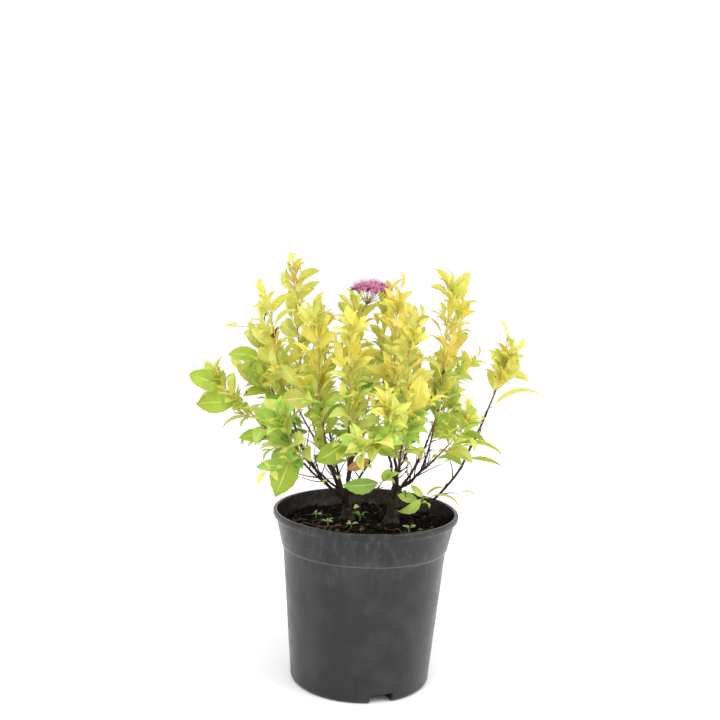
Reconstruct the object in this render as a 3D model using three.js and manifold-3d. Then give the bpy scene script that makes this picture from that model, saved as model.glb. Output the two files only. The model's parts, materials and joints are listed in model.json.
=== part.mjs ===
// Spirea shrub in a black nursery pot, built with three.js.
// Millimetres, +Z up. The origin is the centre of the pot's flat underside, and -Y is the front.
// Bearings are degrees in plan, from +X towards +Y. Reaches are measured from the pot's axis.
import * as THREE from 'three';
import { mergeVertices } from 'three/addons/utils/BufferGeometryUtils.js';
import Module from 'manifold-3d';

const wasm = await Module();
wasm.setup();

// ---------------------------------------------------------------- driving dimensions

const GAP = 0.3; // air between two solids that meet

const POT = {
  height: 178,
  lipRadius: 95, // outside of the rolled lip
  lipHeight: 6,
  mouthRadius: 91, // inside of the lip
  collarTopRadius: 92.1,
  collarFootRadius: 85.3,
  stepHeight: 142.4, // where the collar steps in to the body
  bodyTopRadius: 83.7,
  bodyFootRadius: 72.1,
  footRadius: 67.2, // where the pot stands
  footRound: 5,
  ringWidth: 6.5, // standing ring under the rounded foot
  recess: 10.4, // how far the underside is raised inside the ring
  bossRadius: 28, // flat pad at the middle of the underside
  wall: 1.6,
  floor: 2,
  edge: 1, // the bevel of its corners
  innerRound: 5, // where the wall meets the floor inside
  innerDrop: 2, // how far the corners inside lie below those outside
  sides: 36,
};

// Drain notches in the foot, round at their upper corners. Each is cut from a little outside
// the ring's surfaces, by over.
const NOTCH = { width: 23, height: 9.6, depth: 16, corner: 3, over: 2, count: 3, bearing: -71 };

const SOIL = {
  top: 164,
  edgeDrop: 3, // the surface falls a little towards the wall
  ripple: 1.6,
  rippleWave: { x: 15, y: 12 },
  rippleStart: { x: 1, y: 2 },
  calmRadius: 40, // level ground where the stumps stand
  calmEdge: 18, // over which the ripples begin
  collarShare: 0.6, // how far up the collar the fill comes
  footInset: 0.6,
  footHeight: 7,
  shoulderDrop: 4,
  mound: { x: 66, y: 14, radius: 24, height: 8 },
  sides: 28,
  rings: 4,
};

// Old wood that the canes spring from. Lean is the sideways shift of its top.
const STUMPS = {
  right: { x: 27, y: 4, height: 40, foot: 6, top: 3.6, leanX: 3, leanY: 3 },
  left: { x: -19, y: 9, height: 32, foot: 5.6, top: 3.4, leanX: -2, leanY: -2 },
};

const STUMP = { sides: 8, steps: 5, flare: 0.55, flareHeight: 5 };

// Each cane leaves its parent at a share of the parent's length, at its own climb angle, runs
// out for its push, and ends with an upright stretch, rise, that leans outwards by its lean.
// Its bough is bare up to the height given by bare, where its mass of foliage begins. Where open
// is given, that share of the mass's stem has no leaves, and fold closes its leaves up along the
// stem.
const CANES = [
  { name: 'left_top', parent: 'left', at: 0.78, bearing: 172, reach: 82, top: 414,
    climb: 50, push: 40, rise: 130, lean: 2, bare: 252, thick: 2.8, sides: 4 },
  { name: 'left_high', parent: 'left', at: 0.58, bearing: 191, reach: 104, top: 378,
    climb: 34, push: 46, rise: 120, lean: 8, bare: 246, thick: 2.6, sides: 4 },
  { name: 'left_front', parent: 'left', at: 0.46, bearing: 231, reach: 82, top: 359,
    climb: 46, push: 36, rise: 110, lean: 2, bare: 244, thick: 2.4, sides: 4 },
  { name: 'middle_flower', parent: 'left', at: 0.97, bearing: 128, reach: 20, top: 380,
    climb: 78, push: 60, rise: 90, lean: -6, bare: 262, thick: 3, sides: 3, flower: true },
  { name: 'front', parent: 'left', at: 0.36, bearing: 256, reach: 84, top: 352,
    climb: 44, push: 40, rise: 100, lean: 4, bare: 234, thick: 2.4, sides: 4 },
  { name: 'back_left', parent: 'left', at: 0.54, bearing: 127, reach: 88, top: 356,
    climb: 46, push: 42, rise: 115, lean: 3, bare: 250, thick: 2.6, sides: 4 },
  { name: 'back', parent: 'left', at: 0.7, bearing: 104, reach: 84, top: 363,
    climb: 48, push: 40, rise: 110, lean: 3, bare: 248, thick: 2.5, sides: 4 },
  { name: 'middle_right', parent: 'right', at: 0.97, bearing: -42, reach: 30, top: 380,
    climb: 80, push: 50, rise: 120, lean: 0, bare: 254, thick: 2.8, sides: 4 },
  { name: 'right_top', parent: 'right', at: 0.86, bearing: 1, reach: 76, top: 397,
    climb: 24, push: 34, rise: 172, lean: 3, bare: 246, thick: 2.8, sides: 4 },
  { name: 'far_right', parent: 'right', at: 0.2, bearing: -4, reach: 134, top: 332,
    climb: 8, push: 60, rise: 100, lean: 19, bare: 288, thick: 2.4, sides: 0, open: 0.38, fold: 0.77 },
  { name: 'front_right', parent: 'right', at: 0.62, bearing: -63, reach: 78, top: 356,
    climb: 42, push: 36, rise: 105, lean: 2, bare: 232, thick: 2.4, sides: 4 },
  { name: 'right_inner', parent: 'right', at: 0.68, bearing: 28, reach: 99, top: 374,
    climb: 40, push: 40, rise: 100, lean: 5, bare: 248, thick: 2.4, sides: 4 },
  { name: 'back_right', parent: 'right', at: 0.76, bearing: 63, reach: 92, top: 350,
    climb: 46, push: 42, rise: 110, lean: 3, bare: 250, thick: 2.6, sides: 4 },
  { name: 'middle_back', parent: 'right', at: 0.84, bearing: 78, reach: 54, top: 374,
    climb: 58, push: 50, rise: 100, lean: 1, bare: 260, thick: 2.4, sides: 3 },
  { name: 'left_outer', parent: 'left_high', at: 0.5, bearing: 166, reach: 118, top: 334,
    climb: 52, push: 24, rise: 60, lean: 10, bare: 276, thick: 1.8, sides: 3 },
  { name: 'left_low', parent: 'left_high', at: 0.33, bearing: 188, reach: 148, top: 302,
    climb: 38, push: 26, rise: 30, lean: 46, bare: 238, thick: 1.8, sides: 0 },
  { name: 'front_left_low', parent: 'left_front', at: 0.36, bearing: 221, reach: 106, top: 270,
    climb: 40, push: 22, rise: 34, lean: 30, bare: 236, thick: 1.8, sides: 3 },
  { name: 'front_low', parent: 'front', at: 0.4, bearing: 278, reach: 112, top: 292,
    climb: 40, push: 22, rise: 36, lean: 28, bare: 246, thick: 1.8, sides: 3, open: 0.3, fold: 1 },
  { name: 'right_low', parent: 'front_right', at: 0.34, bearing: -27, reach: 101, top: 274,
    climb: 34, push: 24, rise: 30, lean: 34, bare: 240, thick: 1.8, sides: 0, open: 0.2, fold: 1 },
  { name: 'back_right_low', parent: 'back_right', at: 0.42, bearing: 46, reach: 104, top: 316,
    climb: 42, push: 24, rise: 44, lean: 24, bare: 240, thick: 1.8, sides: 3 },
  { name: 'back_low', parent: 'back', at: 0.4, bearing: 90, reach: 122, top: 304,
    climb: 40, push: 24, rise: 40, lean: 26, bare: 236, thick: 1.8, sides: 3 },
  { name: 'back_left_low', parent: 'back_left', at: 0.42, bearing: 142, reach: 130, top: 320,
    climb: 42, push: 24, rise: 46, lean: 22, bare: 244, thick: 1.8, sides: 3 },
  { name: 'rim_right', parent: 'right', at: 0.36, bearing: -36, reach: 72, top: 204,
    climb: 18, push: 18, rise: 14, lean: 55, bare: 198, thick: 1.8, sides: 0 },
  { name: 'rim_front', parent: 'left', at: 0.22, bearing: 284, reach: 60, top: 221,
    climb: 24, push: 20, rise: 10, lean: 40, bare: 211, thick: 1.8, sides: 0 },
  { name: 'left_inner', parent: 'left', at: 0.24, bearing: 197, reach: 52, top: 302,
    climb: 60, push: 30, rise: 60, lean: 2, bare: 210, thick: 2, sides: 3 },
];

// Leaves that stand well clear of the crown, each on a mass at a share of its stem.
const LONE_LEAVES = [
  { on: 'left_top', at: 0.99, bearing: 150, climb: 62, length: 22, roll: -20, shape: 0.3 },
  { on: 'left_top', at: 0.97, bearing: -4, climb: 32, length: 28, roll: -50, shape: 0.42 },
  { on: 'left_high', at: 0.99, bearing: 0, climb: 50, length: 30, roll: -50, shape: 0.42 },
  { on: 'left_high', at: 0.8, bearing: 180, climb: 34, length: 30, roll: -60, shape: 0.42 },
  { on: 'middle_flower', at: 0.93, bearing: 184, climb: 14, length: 32, roll: -46, shape: 0.4 },
  { on: 'middle_flower', at: 0.8, bearing: 190, climb: 6, length: 34, roll: -40, shape: 0.4 },
  { on: 'right_top', at: 0.99, bearing: -10, climb: 60, length: 36, roll: 50, shape: 0.42 },
  { on: 'left_low', at: 0.98, bearing: 186, climb: 20, length: 38, roll: -74, shape: 0.46 },
  { on: 'left_low', at: 0.7, bearing: 182, climb: -4, length: 44, roll: -68, shape: 0.48 },
  { on: 'left_low', at: 0.5, bearing: 150, climb: 50, length: 34, roll: -60, shape: 0.48 },
  { on: 'left_low', at: 0.2, bearing: 184, climb: -4, length: 36, roll: -62, shape: 0.36 },
  { on: 'left_outer', at: 0.85, bearing: 182, climb: 10, length: 38, roll: -66, shape: 0.46 },
  { on: 'left_outer', at: 0.3, bearing: 184, climb: -6, length: 32, roll: -50, shape: 0.42 },
  { on: 'left_inner', at: 0.6, bearing: 0, climb: -20, length: 34, roll: -50, shape: 0.5 },
  { on: 'front_left_low', at: 0.5, bearing: 218, climb: -66, length: 52, roll: -52, shape: 0.5 },
  { on: 'right_low', at: 0.5, bearing: -6, climb: -4, length: 56, roll: -8, shape: 0.26 },
  { on: 'right_low', at: 0.8, bearing: 172, climb: 44, length: 27.5, roll: -60, shape: 0.56 },
  { on: 'right_low', at: 0.8, bearing: -4, climb: -4, length: 28, roll: -60, shape: 0.52 },
  { on: 'right_low', at: 0.03, bearing: 8, climb: -10, length: 28, roll: -56, shape: 0.6 },
  { on: 'far_right', at: 0.03, bearing: -2, climb: 21, length: 56, roll: -30, shape: 0.32 },
  { on: 'far_right', at: 0.36, bearing: 172, climb: 86, length: 46, roll: -40, shape: 0.5 },
  { on: 'far_right', at: 0.6, bearing: 0, climb: 66, length: 38, roll: -40, shape: 0.46 },
  { on: 'far_right', at: 0.8, bearing: 0, climb: -4, length: 28, roll: -50, shape: 0.42 },
  { on: 'left_front', at: 0.58, bearing: 182, climb: -8, length: 40, roll: -56, shape: 0.5 },
  { on: 'front', at: 0.28, bearing: 192, climb: -36, length: 38, roll: -60, shape: 0.52 },
  { on: 'front_right', at: 0.12, bearing: 178, climb: 42, length: 44, roll: -52, shape: 0.58 },
  { on: 'rim_right', at: 0.1, bearing: 180, climb: 12, length: 22, roll: -60, shape: 0.4 },
  { on: 'rim_right', at: 0.7, bearing: 196, climb: -30, length: 28, roll: -60, shape: 0.42 },
  { on: 'rim_right', at: 0.8, bearing: 168, climb: 40, length: 18, roll: -60, shape: 0.42 },
  { on: 'rim_right', at: 0.9, bearing: 10, climb: 34, length: 22, roll: -60, shape: 0.42 },
  { on: 'rim_right', at: 0.95, bearing: -10, climb: -8, length: 36, roll: -30, shape: 0.34 },
  { on: 'rim_front', at: 0.9, bearing: 186, climb: -8, length: 38, roll: -64, shape: 0.42 },
  { on: 'front_low', at: 0.02, bearing: 186, climb: -28, length: 27, roll: -50, shape: 0.34 },
];

const LIMB = { sides: 5, steps: 7, footShare: 1.25 }; // a cane is thickest where it leaves its parent

// The growth rule of a mass. Angles are from the twig that carries the leaf or twig.
const GROWTH = {
  axisSteps: 5,
  internode: 8, // between two leaves along a stem
  turn: 144, // round the stem from leaf to leaf
  turnDrift: 24,
  lowAngle: 92,
  tipAngle: 42,
  angleDrift: 14,
  leastAngle: 12,
  roll: 45, // either way, about the leaf's own length
  lowLeaf: 44,
  tipLeaf: 26,
  lowShape: 0.5, // width over length of a long leaf
  tipShape: 0.36, // and of a short one
  footLeaf: 0.62, // share of their length that leaves have down here,
  footFrom: 200,
  footTo: 250, // and from here up they have all of it
  stemShortest: 0.85, // least share of a leaf's full length, on the stem,
  sideShortest: 0.8, // on a side twig
  tuftShortest: 0.75, // and in the tuft at the tip
  spread: 0.3, // of these shares
  sideSteps: 2,
  sideLength: 46,
  sideTaper: 0.5, // share by which side twigs grow shorter towards the tip
  sideSpread: 0.4,
  sideAngle: 60,
  sideInternode: 13,
  sideFrom: 0.08, // share of the stem where the first side twig leaves it
  sideOver: 0.6, // share of the stem over which they leave it
  sideTurn: 137,
  sideTurnDrift: 30,
  sideRise: 0.22, // share of its length by which a side twig bends up
  sideLowAngle: 62,
  sideTipAngle: 26,
  sideAngleDrift: 12,
  tuft: 3,
  tuftAngle: 26,
  tuftDrift: 10,
  tries: 6,
  steeper: 8, // each new try turns the leaf up by this
  shorter: 0.93, // shortens it
  swing: 37, // and swings it round the stem, to one side and then the other
};

// Shares of a leaf's length, how far it is sunk in its twig, and how it faces out and up. Its
// blade here is a rhombus, which is fuller than the oval leaf so that it covers as much.
const LEAF = { widest: 0.42, fuller: 1.25, keel: 0.06, droop: 0.12, sunk: 0.45, out: 0.6, up: 0.8 };
const TWIG = { startRadius: 0.95, tipRadius: 0.45, sideRadius: 0.6, sides: 3 };

// What a leaf or twig keeps clear of: the border of its mass's space, the middle line of a limb,
// the room above the pot, up to the height given by ground, and the flower head.
const SPACE = { border: 0.6, limb: 4.4, ground: 222, flower: 2 };

// The flat-domed flower head, on a stalk that rises from the tip of its shoot and leans to +X.
const CORYMB = { radius: 20, height: 13, under: 5, rise: 20, lean: 8, stalk: 0.7, bump: 0.08,
  bumps: [9, 4, 8] };

const GOLDEN_TOP = 330; // a mass that reaches higher is golden, the others are lime

const COLOURS = {
  pot: 0x424346,
  soil: 0x1f1914,
  wood: 0x4a3428,
  golden: 0xd9cc4a,
  lime: 0xa9c63c,
};

// ---------------------------------------------------------------- small helpers

const UP = new THREE.Vector3(0, 0, 1);

const mix = (a, b, share) => a + (b - a) * share;
const radians = THREE.MathUtils.degToRad;

function outward(bearing) {
  return new THREE.Vector3(Math.cos(radians(bearing)), Math.sin(radians(bearing)), 0);
}

// A seeded stream of numbers from 0 to 1 (mulberry32).
function randomStream(seed) {
  let state = seed >>> 0;
  return () => {
    state = (state + 0x6d2b79f5) >>> 0;
    let t = state;
    t = Math.imul(t ^ (t >>> 15), t | 1);
    t ^= t + Math.imul(t ^ (t >>> 7), t | 61);
    return ((t ^ (t >>> 14)) >>> 0) / 4294967296;
  };
}

// Turns a direction towards the side given, by an angle in degrees.
function tilted(direction, side, angle) {
  const turned = direction.clone().multiplyScalar(Math.cos(radians(angle)));
  return turned.addScaledVector(side, Math.sin(radians(angle))).normalize();
}

// A unit vector at right angles to the axis, at a turn round it in degrees.
function around(axis, turn) {
  const first = new THREE.Vector3(1, 0, 0).addScaledVector(axis, -axis.x).normalize();
  const second = new THREE.Vector3().crossVectors(axis, first);
  const side = first.multiplyScalar(Math.cos(radians(turn)));
  return side.addScaledVector(second, Math.sin(radians(turn)));
}

// The point at a share of a path's run, which is straight from point to point.
function pointOnPath(path, share) {
  const run = share * (path.length - 1);
  const piece = Math.min(Math.floor(run), path.length - 2);
  return path[piece].clone().lerp(path[piece + 1], run - piece);
}

function directionOnPath(path, share) {
  const piece = Math.min(Math.floor(share * (path.length - 1)), path.length - 2);
  return new THREE.Vector3().subVectors(path[piece + 1], path[piece]).normalize();
}

function pathLength(path) {
  return path.slice(1).reduce((sum, point, i) => sum + point.distanceTo(path[i]), 0);
}

function distanceToPath(point, path) {
  let best = Infinity;
  for (let i = 1; i < path.length; i += 1) {
    const span = new THREE.Vector3().subVectors(path[i], path[i - 1]);
    const share = new THREE.Vector3().subVectors(point, path[i - 1]).dot(span) / span.lengthSq();
    const nearest = path[i - 1].clone().addScaledVector(span, THREE.MathUtils.clamp(share, 0, 1));
    best = Math.min(best, nearest.distanceTo(point));
  }
  return best;
}

// ---------------------------------------------------------------- solids

function toSolid(geometry) {
  const bare = geometry.clone();
  bare.deleteAttribute('normal');
  bare.deleteAttribute('uv');
  const merged = mergeVertices(bare, 1e-4);
  const mesh = new wasm.Mesh({
    numProp: 3,
    vertProperties: new Float32Array(merged.attributes.position.array),
    triVerts: new Uint32Array(merged.index.array),
  });
  return new wasm.Manifold(mesh);
}

function toGeometry(solid) {
  const mesh = solid.getMesh();
  const geometry = new THREE.BufferGeometry();
  geometry.setAttribute('position', new THREE.BufferAttribute(mesh.vertProperties, 3));
  geometry.setIndex(new THREE.BufferAttribute(mesh.triVerts, 1));
  geometry.computeVertexNormals();
  return geometry;
}

// The largest piece of a solid: a loose scrap or the skin of a sealed hollow is dropped.
function largestPiece(solid) {
  const pieces = solid.decompose();
  return pieces.reduce((best, piece) => (piece.volume() > best.volume() ? piece : best));
}

function joined(solids) {
  return largestPiece(solids.reduce((sum, solid) => sum.add(solid)));
}

// A lathe whose profile is [radius, height] pairs, turned to stand along +Z.
function turnedSolid(profile, sides) {
  const points = profile.map(([radius, height]) => new THREE.Vector2(radius, height));
  return new THREE.LatheGeometry(points, sides).rotateX(Math.PI / 2);
}

// A tapered limb along a path of points: a closed cylinder bent to follow it.
function limbGeometry(path, startRadius, endRadius, sides) {
  const steps = path.length - 1;
  const limb = new THREE.CylinderGeometry(1, 1, 1, sides, steps, false);
  const position = limb.attributes.position;
  const rings = path.map((centre, i) => {
    const before = path[Math.max(i - 1, 0)];
    const after = path[Math.min(i + 1, steps)];
    const along = new THREE.Vector3().subVectors(after, before).normalize();
    return { centre, first: around(along, 0), second: around(along, 90), along };
  });
  for (let v = 0; v < position.count; v += 1) {
    const step = Math.round((position.getY(v) + 0.5) * steps);
    const { centre, first, second } = rings[step];
    const radius = mix(startRadius, endRadius, step / steps);
    const point = centre.clone();
    point.addScaledVector(first, -position.getZ(v) * radius);
    point.addScaledVector(second, -position.getX(v) * radius);
    position.setXYZ(v, point.x, point.y, point.z);
  }
  return limb;
}

// ---------------------------------------------------------------- pot and soil

function potGeometry() {
  const { height, wall, floor, recess, footRadius, footRound, edge, innerDrop } = POT;
  const ringInner = footRadius - POT.ringWidth;
  const lipFoot = height - POT.lipHeight;
  const footArc = [0, 1, 2].map((i) => {
    const angle = radians(45 * i);
    return [footRadius + footRound * Math.sin(angle), footRound * (1 - Math.cos(angle))];
  });
  const outside = [
    [0, 0],
    [POT.bossRadius, 0],
    [POT.bossRadius + edge, recess],
    [ringInner - edge, recess],
    [ringInner, 0],
    ...footArc,
    [POT.bodyTopRadius, POT.stepHeight - edge],
    [POT.collarFootRadius, POT.stepHeight],
    [POT.collarTopRadius, lipFoot],
    [POT.lipRadius, lipFoot + edge / 2],
    [POT.lipRadius, height - edge],
    [POT.lipRadius - edge, height],
  ];
  const inside = [
    [POT.mouthRadius, height],
    [POT.collarTopRadius - wall, lipFoot - innerDrop],
    [POT.collarFootRadius - wall, POT.stepHeight - innerDrop],
    [POT.bodyTopRadius - wall, POT.stepHeight - innerDrop - edge],
    [POT.bodyFootRadius - wall, recess + floor + POT.innerRound],
    [POT.footRadius - wall, recess + floor],
    [0, recess + floor],
  ];
  let pot = toSolid(turnedSolid([...outside, ...inside], POT.sides));
  for (let i = 0; i < NOTCH.count; i += 1) {
    pot = pot.subtract(toSolid(notchGeometry(NOTCH.bearing + (360 * i) / NOTCH.count)));
  }
  return toGeometry(pot);
}

// A drain notch: an arch through the standing ring, open below.
function notchGeometry(bearing) {
  const { corner, over } = NOTCH;
  const half = NOTCH.width / 2;
  const spring = NOTCH.height - corner;
  const arch = new THREE.Shape();
  arch.moveTo(-half, -over);
  arch.lineTo(half, -over);
  arch.lineTo(half, spring);
  arch.absarc(half - corner, spring, corner, 0, Math.PI / 2, false);
  arch.absarc(corner - half, spring, corner, Math.PI / 2, Math.PI, false);
  arch.closePath();
  const notch = new THREE.ExtrudeGeometry(arch, {
    depth: NOTCH.depth,
    bevelEnabled: false,
    curveSegments: 2,
  });
  notch.rotateX(Math.PI / 2);
  notch.translate(0, -(POT.footRadius - POT.ringWidth - over), 0);
  return notch.rotateZ(radians(bearing + 90));
}

function soilHeight(x, y) {
  const { calmRadius, rippleWave, rippleStart } = SOIL;
  const radius = Math.hypot(x, y);
  const rough = THREE.MathUtils.smoothstep(radius, calmRadius, calmRadius + SOIL.calmEdge);
  const across = Math.sin(x / rippleWave.x + rippleStart.x);
  const along = Math.sin(y / rippleWave.y + rippleStart.y);
  const fromMound = Math.hypot(x - SOIL.mound.x, y - SOIL.mound.y) / SOIL.mound.radius;
  const mound = SOIL.mound.height * Math.exp(-fromMound * fromMound);
  return SOIL.top + rough * (SOIL.ripple * across * along - SOIL.edgeDrop + mound);
}

function soilGeometry() {
  const bottom = POT.recess + POT.floor + GAP;
  const inset = POT.wall + 3 * GAP; // the wall's facets lie inside its true circle
  const shoulder = POT.stepHeight - SOIL.shoulderDrop;
  const rimRadius = mix(POT.collarFootRadius, POT.collarTopRadius, SOIL.collarShare) - inset;
  const top = Array.from({ length: SOIL.rings }, (_, i) => [
    rimRadius * (1 - (i + 1) / SOIL.rings),
    SOIL.top,
  ]);
  const profile = [
    [0, bottom],
    [POT.footRadius - inset, bottom],
    [POT.bodyFootRadius - inset - SOIL.footInset, bottom + SOIL.footHeight],
    [POT.bodyTopRadius - inset, shoulder],
    [POT.collarFootRadius - inset, POT.stepHeight],
    [rimRadius, SOIL.top],
    ...top,
  ];
  const soil = turnedSolid(profile, SOIL.sides);
  const position = soil.attributes.position;
  for (let v = 0; v < position.count; v += 1) {
    if (position.getZ(v) > SOIL.top - 0.01) {
      position.setZ(v, soilHeight(position.getX(v), position.getY(v)));
    }
  }
  return toGeometry(toSolid(soil));
}

// ---------------------------------------------------------------- stumps and boughs

// The middle of a stump at a share of its height, which leans more towards its top.
function stumpCentre(stump, share) {
  return new THREE.Vector3(
    stump.x + stump.leanX * share * share,
    stump.y + stump.leanY * share * share,
    SOIL.top + GAP + stump.height * share,
  );
}

// Old wood with a root flare and level ends, grown on every side by a clearance.
function stumpGeometry(stump, clearance) {
  const limb = new THREE.CylinderGeometry(1, 1, 1, STUMP.sides, STUMP.steps);
  limb.rotateX(Math.PI / 2);
  const position = limb.attributes.position;
  for (let v = 0; v < position.count; v += 1) {
    const share = position.getZ(v) + 0.5;
    const centre = stumpCentre(stump, share);
    const flare = 1 + STUMP.flare * Math.exp((-share * stump.height) / STUMP.flareHeight);
    const radius = mix(stump.foot, stump.top, share) * flare + clearance;
    const end = Math.round(2 * share - 1) * clearance;
    const x = centre.x + position.getX(v) * radius;
    const y = centre.y + position.getY(v) * radius;
    position.setXYZ(v, x, y, centre.z + (share === 0 || share === 1 ? end : 0));
  }
  return limb;
}

// The whole curve of a cane, from inside its parent to the tip of its shoot.
function caneCurve(cane, start) {
  const tip = outward(cane.bearing).multiplyScalar(cane.reach).setZ(cane.top);
  const course = new THREE.Vector3(tip.x - start.x, tip.y - start.y, 0).normalize();
  const leaving = tilted(UP, course, 90 - cane.climb);
  const upright = tilted(UP, outward(cane.bearing), cane.lean);
  const elbow = start.clone().addScaledVector(leaving, cane.push);
  const shoulder = tip.clone().addScaledVector(upright, -cane.rise);
  return new THREE.CubicBezierCurve3(start, elbow, shoulder, tip);
}

// The share of the curve at which it first passes the height where the cane stops being bare.
function bareShare(curve, height) {
  let share = 0;
  while (share < 1 && curve.getPoint(share).z < height) {
    share += 0.005;
  }
  return share;
}

function pathAlong(curve, from, to, steps) {
  return Array.from({ length: steps + 1 }, (_, i) => curve.getPoint(mix(from, to, i / steps)));
}

function traceCanes() {
  const traced = {};
  CANES.forEach((cane, index) => {
    const stump = STUMPS[cane.parent];
    const parent = traced[cane.parent];
    const start = stump
      ? stumpCentre(stump, cane.at)
      : parent.curve.getPoint(cane.at * parent.entry);
    const curve = caneCurve(cane, start);
    const entry = bareShare(curve, cane.bare);
    const nudge = 0.001;
    const speed = curve.getPoint(entry).distanceTo(curve.getPoint(entry + nudge)) / nudge;
    traced[cane.name] = {
      ...cane,
      index,
      curve,
      entry,
      bough: pathAlong(curve, 0, entry, LIMB.steps),
      axis: pathAlong(curve, entry + (GAP + 0.05) / speed, 1, GROWTH.axisSteps),
    };
  });
  return traced;
}

function boughSolid(cane, extra) {
  const start = (cane.thick / 2) * LIMB.footShare + extra;
  const end = TWIG.startRadius + 0.05 + extra;
  return toSolid(limbGeometry(cane.bough, start, end, LIMB.sides));
}

// A bough is cut back to stand clear of the limb that it springs from.
function boughGeometry(cane, canes) {
  const stump = STUMPS[cane.parent];
  const parent = stump ? toSolid(stumpGeometry(stump, GAP)) : boughSolid(canes[cane.parent], GAP);
  return toGeometry(largestPiece(boughSolid(cane, 0).subtract(parent)));
}

// ---------------------------------------------------------------- growth of a mass

function corymbCentre(mass) {
  const top = mass.axis[mass.axis.length - 1];
  return new THREE.Vector3(top.x + CORYMB.lean, top.y, top.z + CORYMB.rise);
}

// True where a point lies in or close to a flower head.
function nearFlower(point, cane) {
  const from = point.clone().sub(corymbCentre(cane));
  from.z *= CORYMB.radius / CORYMB.height;
  return cane.flower && from.length() < CORYMB.radius + SPACE.flower;
}

// True where every point keeps to the mass's own space, off every limb and above the pot.
function hasRoom(points, mass, canes) {
  return points.every((point) => {
    if (point.z < SPACE.ground) {
      return false;
    }
    const own = distanceToPath(point, mass.axis);
    return Object.values(canes).every((cane) => (
      distanceToPath(point, cane.bough) > SPACE.limb
      && !nearFlower(point, cane)
      && (cane === mass || distanceToPath(point, cane.axis) - own > 2 * SPACE.border)
    ));
  });
}

// A leaf: its root on the twig, the way it points and its length. Its upper face looks up and
// away from the pot's axis, turned by its roll. Its shape is its width over its length.
function makeLeaf(root, direction, length, roll, shape = leafShape(length)) {
  const away = new THREE.Vector3(root.x, root.y, 0).normalize();
  const facing = away.multiplyScalar(LEAF.out).addScaledVector(UP, LEAF.up);
  const level = facing.addScaledVector(direction, -facing.dot(direction)).normalize();
  const across = new THREE.Vector3().crossVectors(direction, level);
  const normal = tilted(level, across, roll);
  const side = new THREE.Vector3().crossVectors(direction, normal);
  return { root, direction, normal, side, length, shape };
}

function leafPoint(leaf, along, across, above) {
  const point = leaf.root.clone().addScaledVector(leaf.direction, along * leaf.length);
  point.addScaledVector(leaf.side, across * leaf.length);
  return point.addScaledVector(leaf.normal, above * leaf.length);
}

// The width of a leaf as a share of its length: a long, old leaf is the broader.
function leafShape(length) {
  const short = GROWTH.tipLeaf * GROWTH.tuftShortest;
  const age = (length - short) / (GROWTH.lowLeaf - short);
  return mix(GROWTH.tipShape, GROWTH.lowShape, THREE.MathUtils.clamp(age, 0, 1));
}

// The corners of a leaf's blade: its root, its tip and its two widest points, which stand
// above the keel that runs from root to tip.
function leafCorners(leaf) {
  const half = (leaf.shape / 2) * LEAF.fuller;
  const edge = LEAF.keel - LEAF.droop * LEAF.widest;
  return [
    leafPoint(leaf, -LEAF.sunk / leaf.length, 0, 0),
    leafPoint(leaf, 1, 0, -LEAF.droop),
    leafPoint(leaf, LEAF.widest, half, edge),
    leafPoint(leaf, LEAF.widest, -half, edge),
  ];
}

// Points over the blade where it is tested for room.
function leafSamples(leaf) {
  const [root, tip, left, right] = leafCorners(leaf);
  return [
    root.clone().lerp(tip, 0.2),
    root.clone().lerp(tip, 0.45),
    root.clone().lerp(tip, 0.7),
    left.clone().lerp(tip, 0.45),
    right.clone().lerp(tip, 0.45),
    left,
    right,
    tip,
  ];
}

// Places a leaf, turned up and shortened until it has room, or leaves it out.
function tryLeaf(mass, canes, twig, node) {
  for (let attempt = 0; attempt < GROWTH.tries; attempt += 1) {
    const angle = Math.max(node.angle - attempt * GROWTH.steeper, GROWTH.leastAngle);
    const swing = GROWTH.swing * attempt * (attempt % 2 ? 1 : -1);
    const direction = tilted(twig, around(twig, node.turn + swing), angle);
    const length = node.length * GROWTH.shorter ** attempt;
    const leaf = makeLeaf(node.root, direction, length, node.roll);
    if (hasRoom(leafSamples(leaf), mass, canes)) {
      mass.leaves.push(leaf);
      return;
    }
  }
}

// A factor from the lowest given to that and the spread of the lengths.
function varied(lowest, random) {
  return lowest + GROWTH.spread * random();
}

// Leaves are longest at the foot of a mass, but short again where the crown begins.
function leafLength(share, height) {
  const up = (height - GROWTH.footFrom) / (GROWTH.footTo - GROWTH.footFrom);
  const full = mix(GROWTH.footLeaf, 1, Math.min(Math.max(up, 0), 1));
  return full * mix(GROWTH.lowLeaf, GROWTH.tipLeaf, share);
}

function growSide(mass, canes, root, direction, length, random, firstTurn) {
  const { sideLowAngle, sideTipAngle } = GROWTH;
  const path = Array.from({ length: GROWTH.sideSteps + 1 }, (_, i) => {
    const share = i / GROWTH.sideSteps;
    const point = root.clone().addScaledVector(direction, length * share);
    return point.addScaledVector(UP, GROWTH.sideRise * length * share * share);
  });
  if (!hasRoom(path.slice(1), mass, canes)) {
    return;
  }
  mass.twigs.push({ path, start: TWIG.sideRadius, end: TWIG.tipRadius });
  const nodes = Math.round(length / GROWTH.sideInternode);
  let turn = firstTurn;
  for (let k = 1; k <= nodes; k += 1) {
    const share = k / nodes;
    const root = pointOnPath(path, share);
    turn += GROWTH.turn + (random() - 0.5) * GROWTH.sideTurnDrift;
    tryLeaf(mass, canes, directionOnPath(path, share), {
      root,
      angle: mix(sideLowAngle, sideTipAngle, share) + (random() - 0.5) * GROWTH.sideAngleDrift,
      turn,
      length: leafLength(share, root.z) * varied(GROWTH.sideShortest, random),
      roll: GROWTH.roll * (2 * random() - 1),
    });
  }
}

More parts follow.
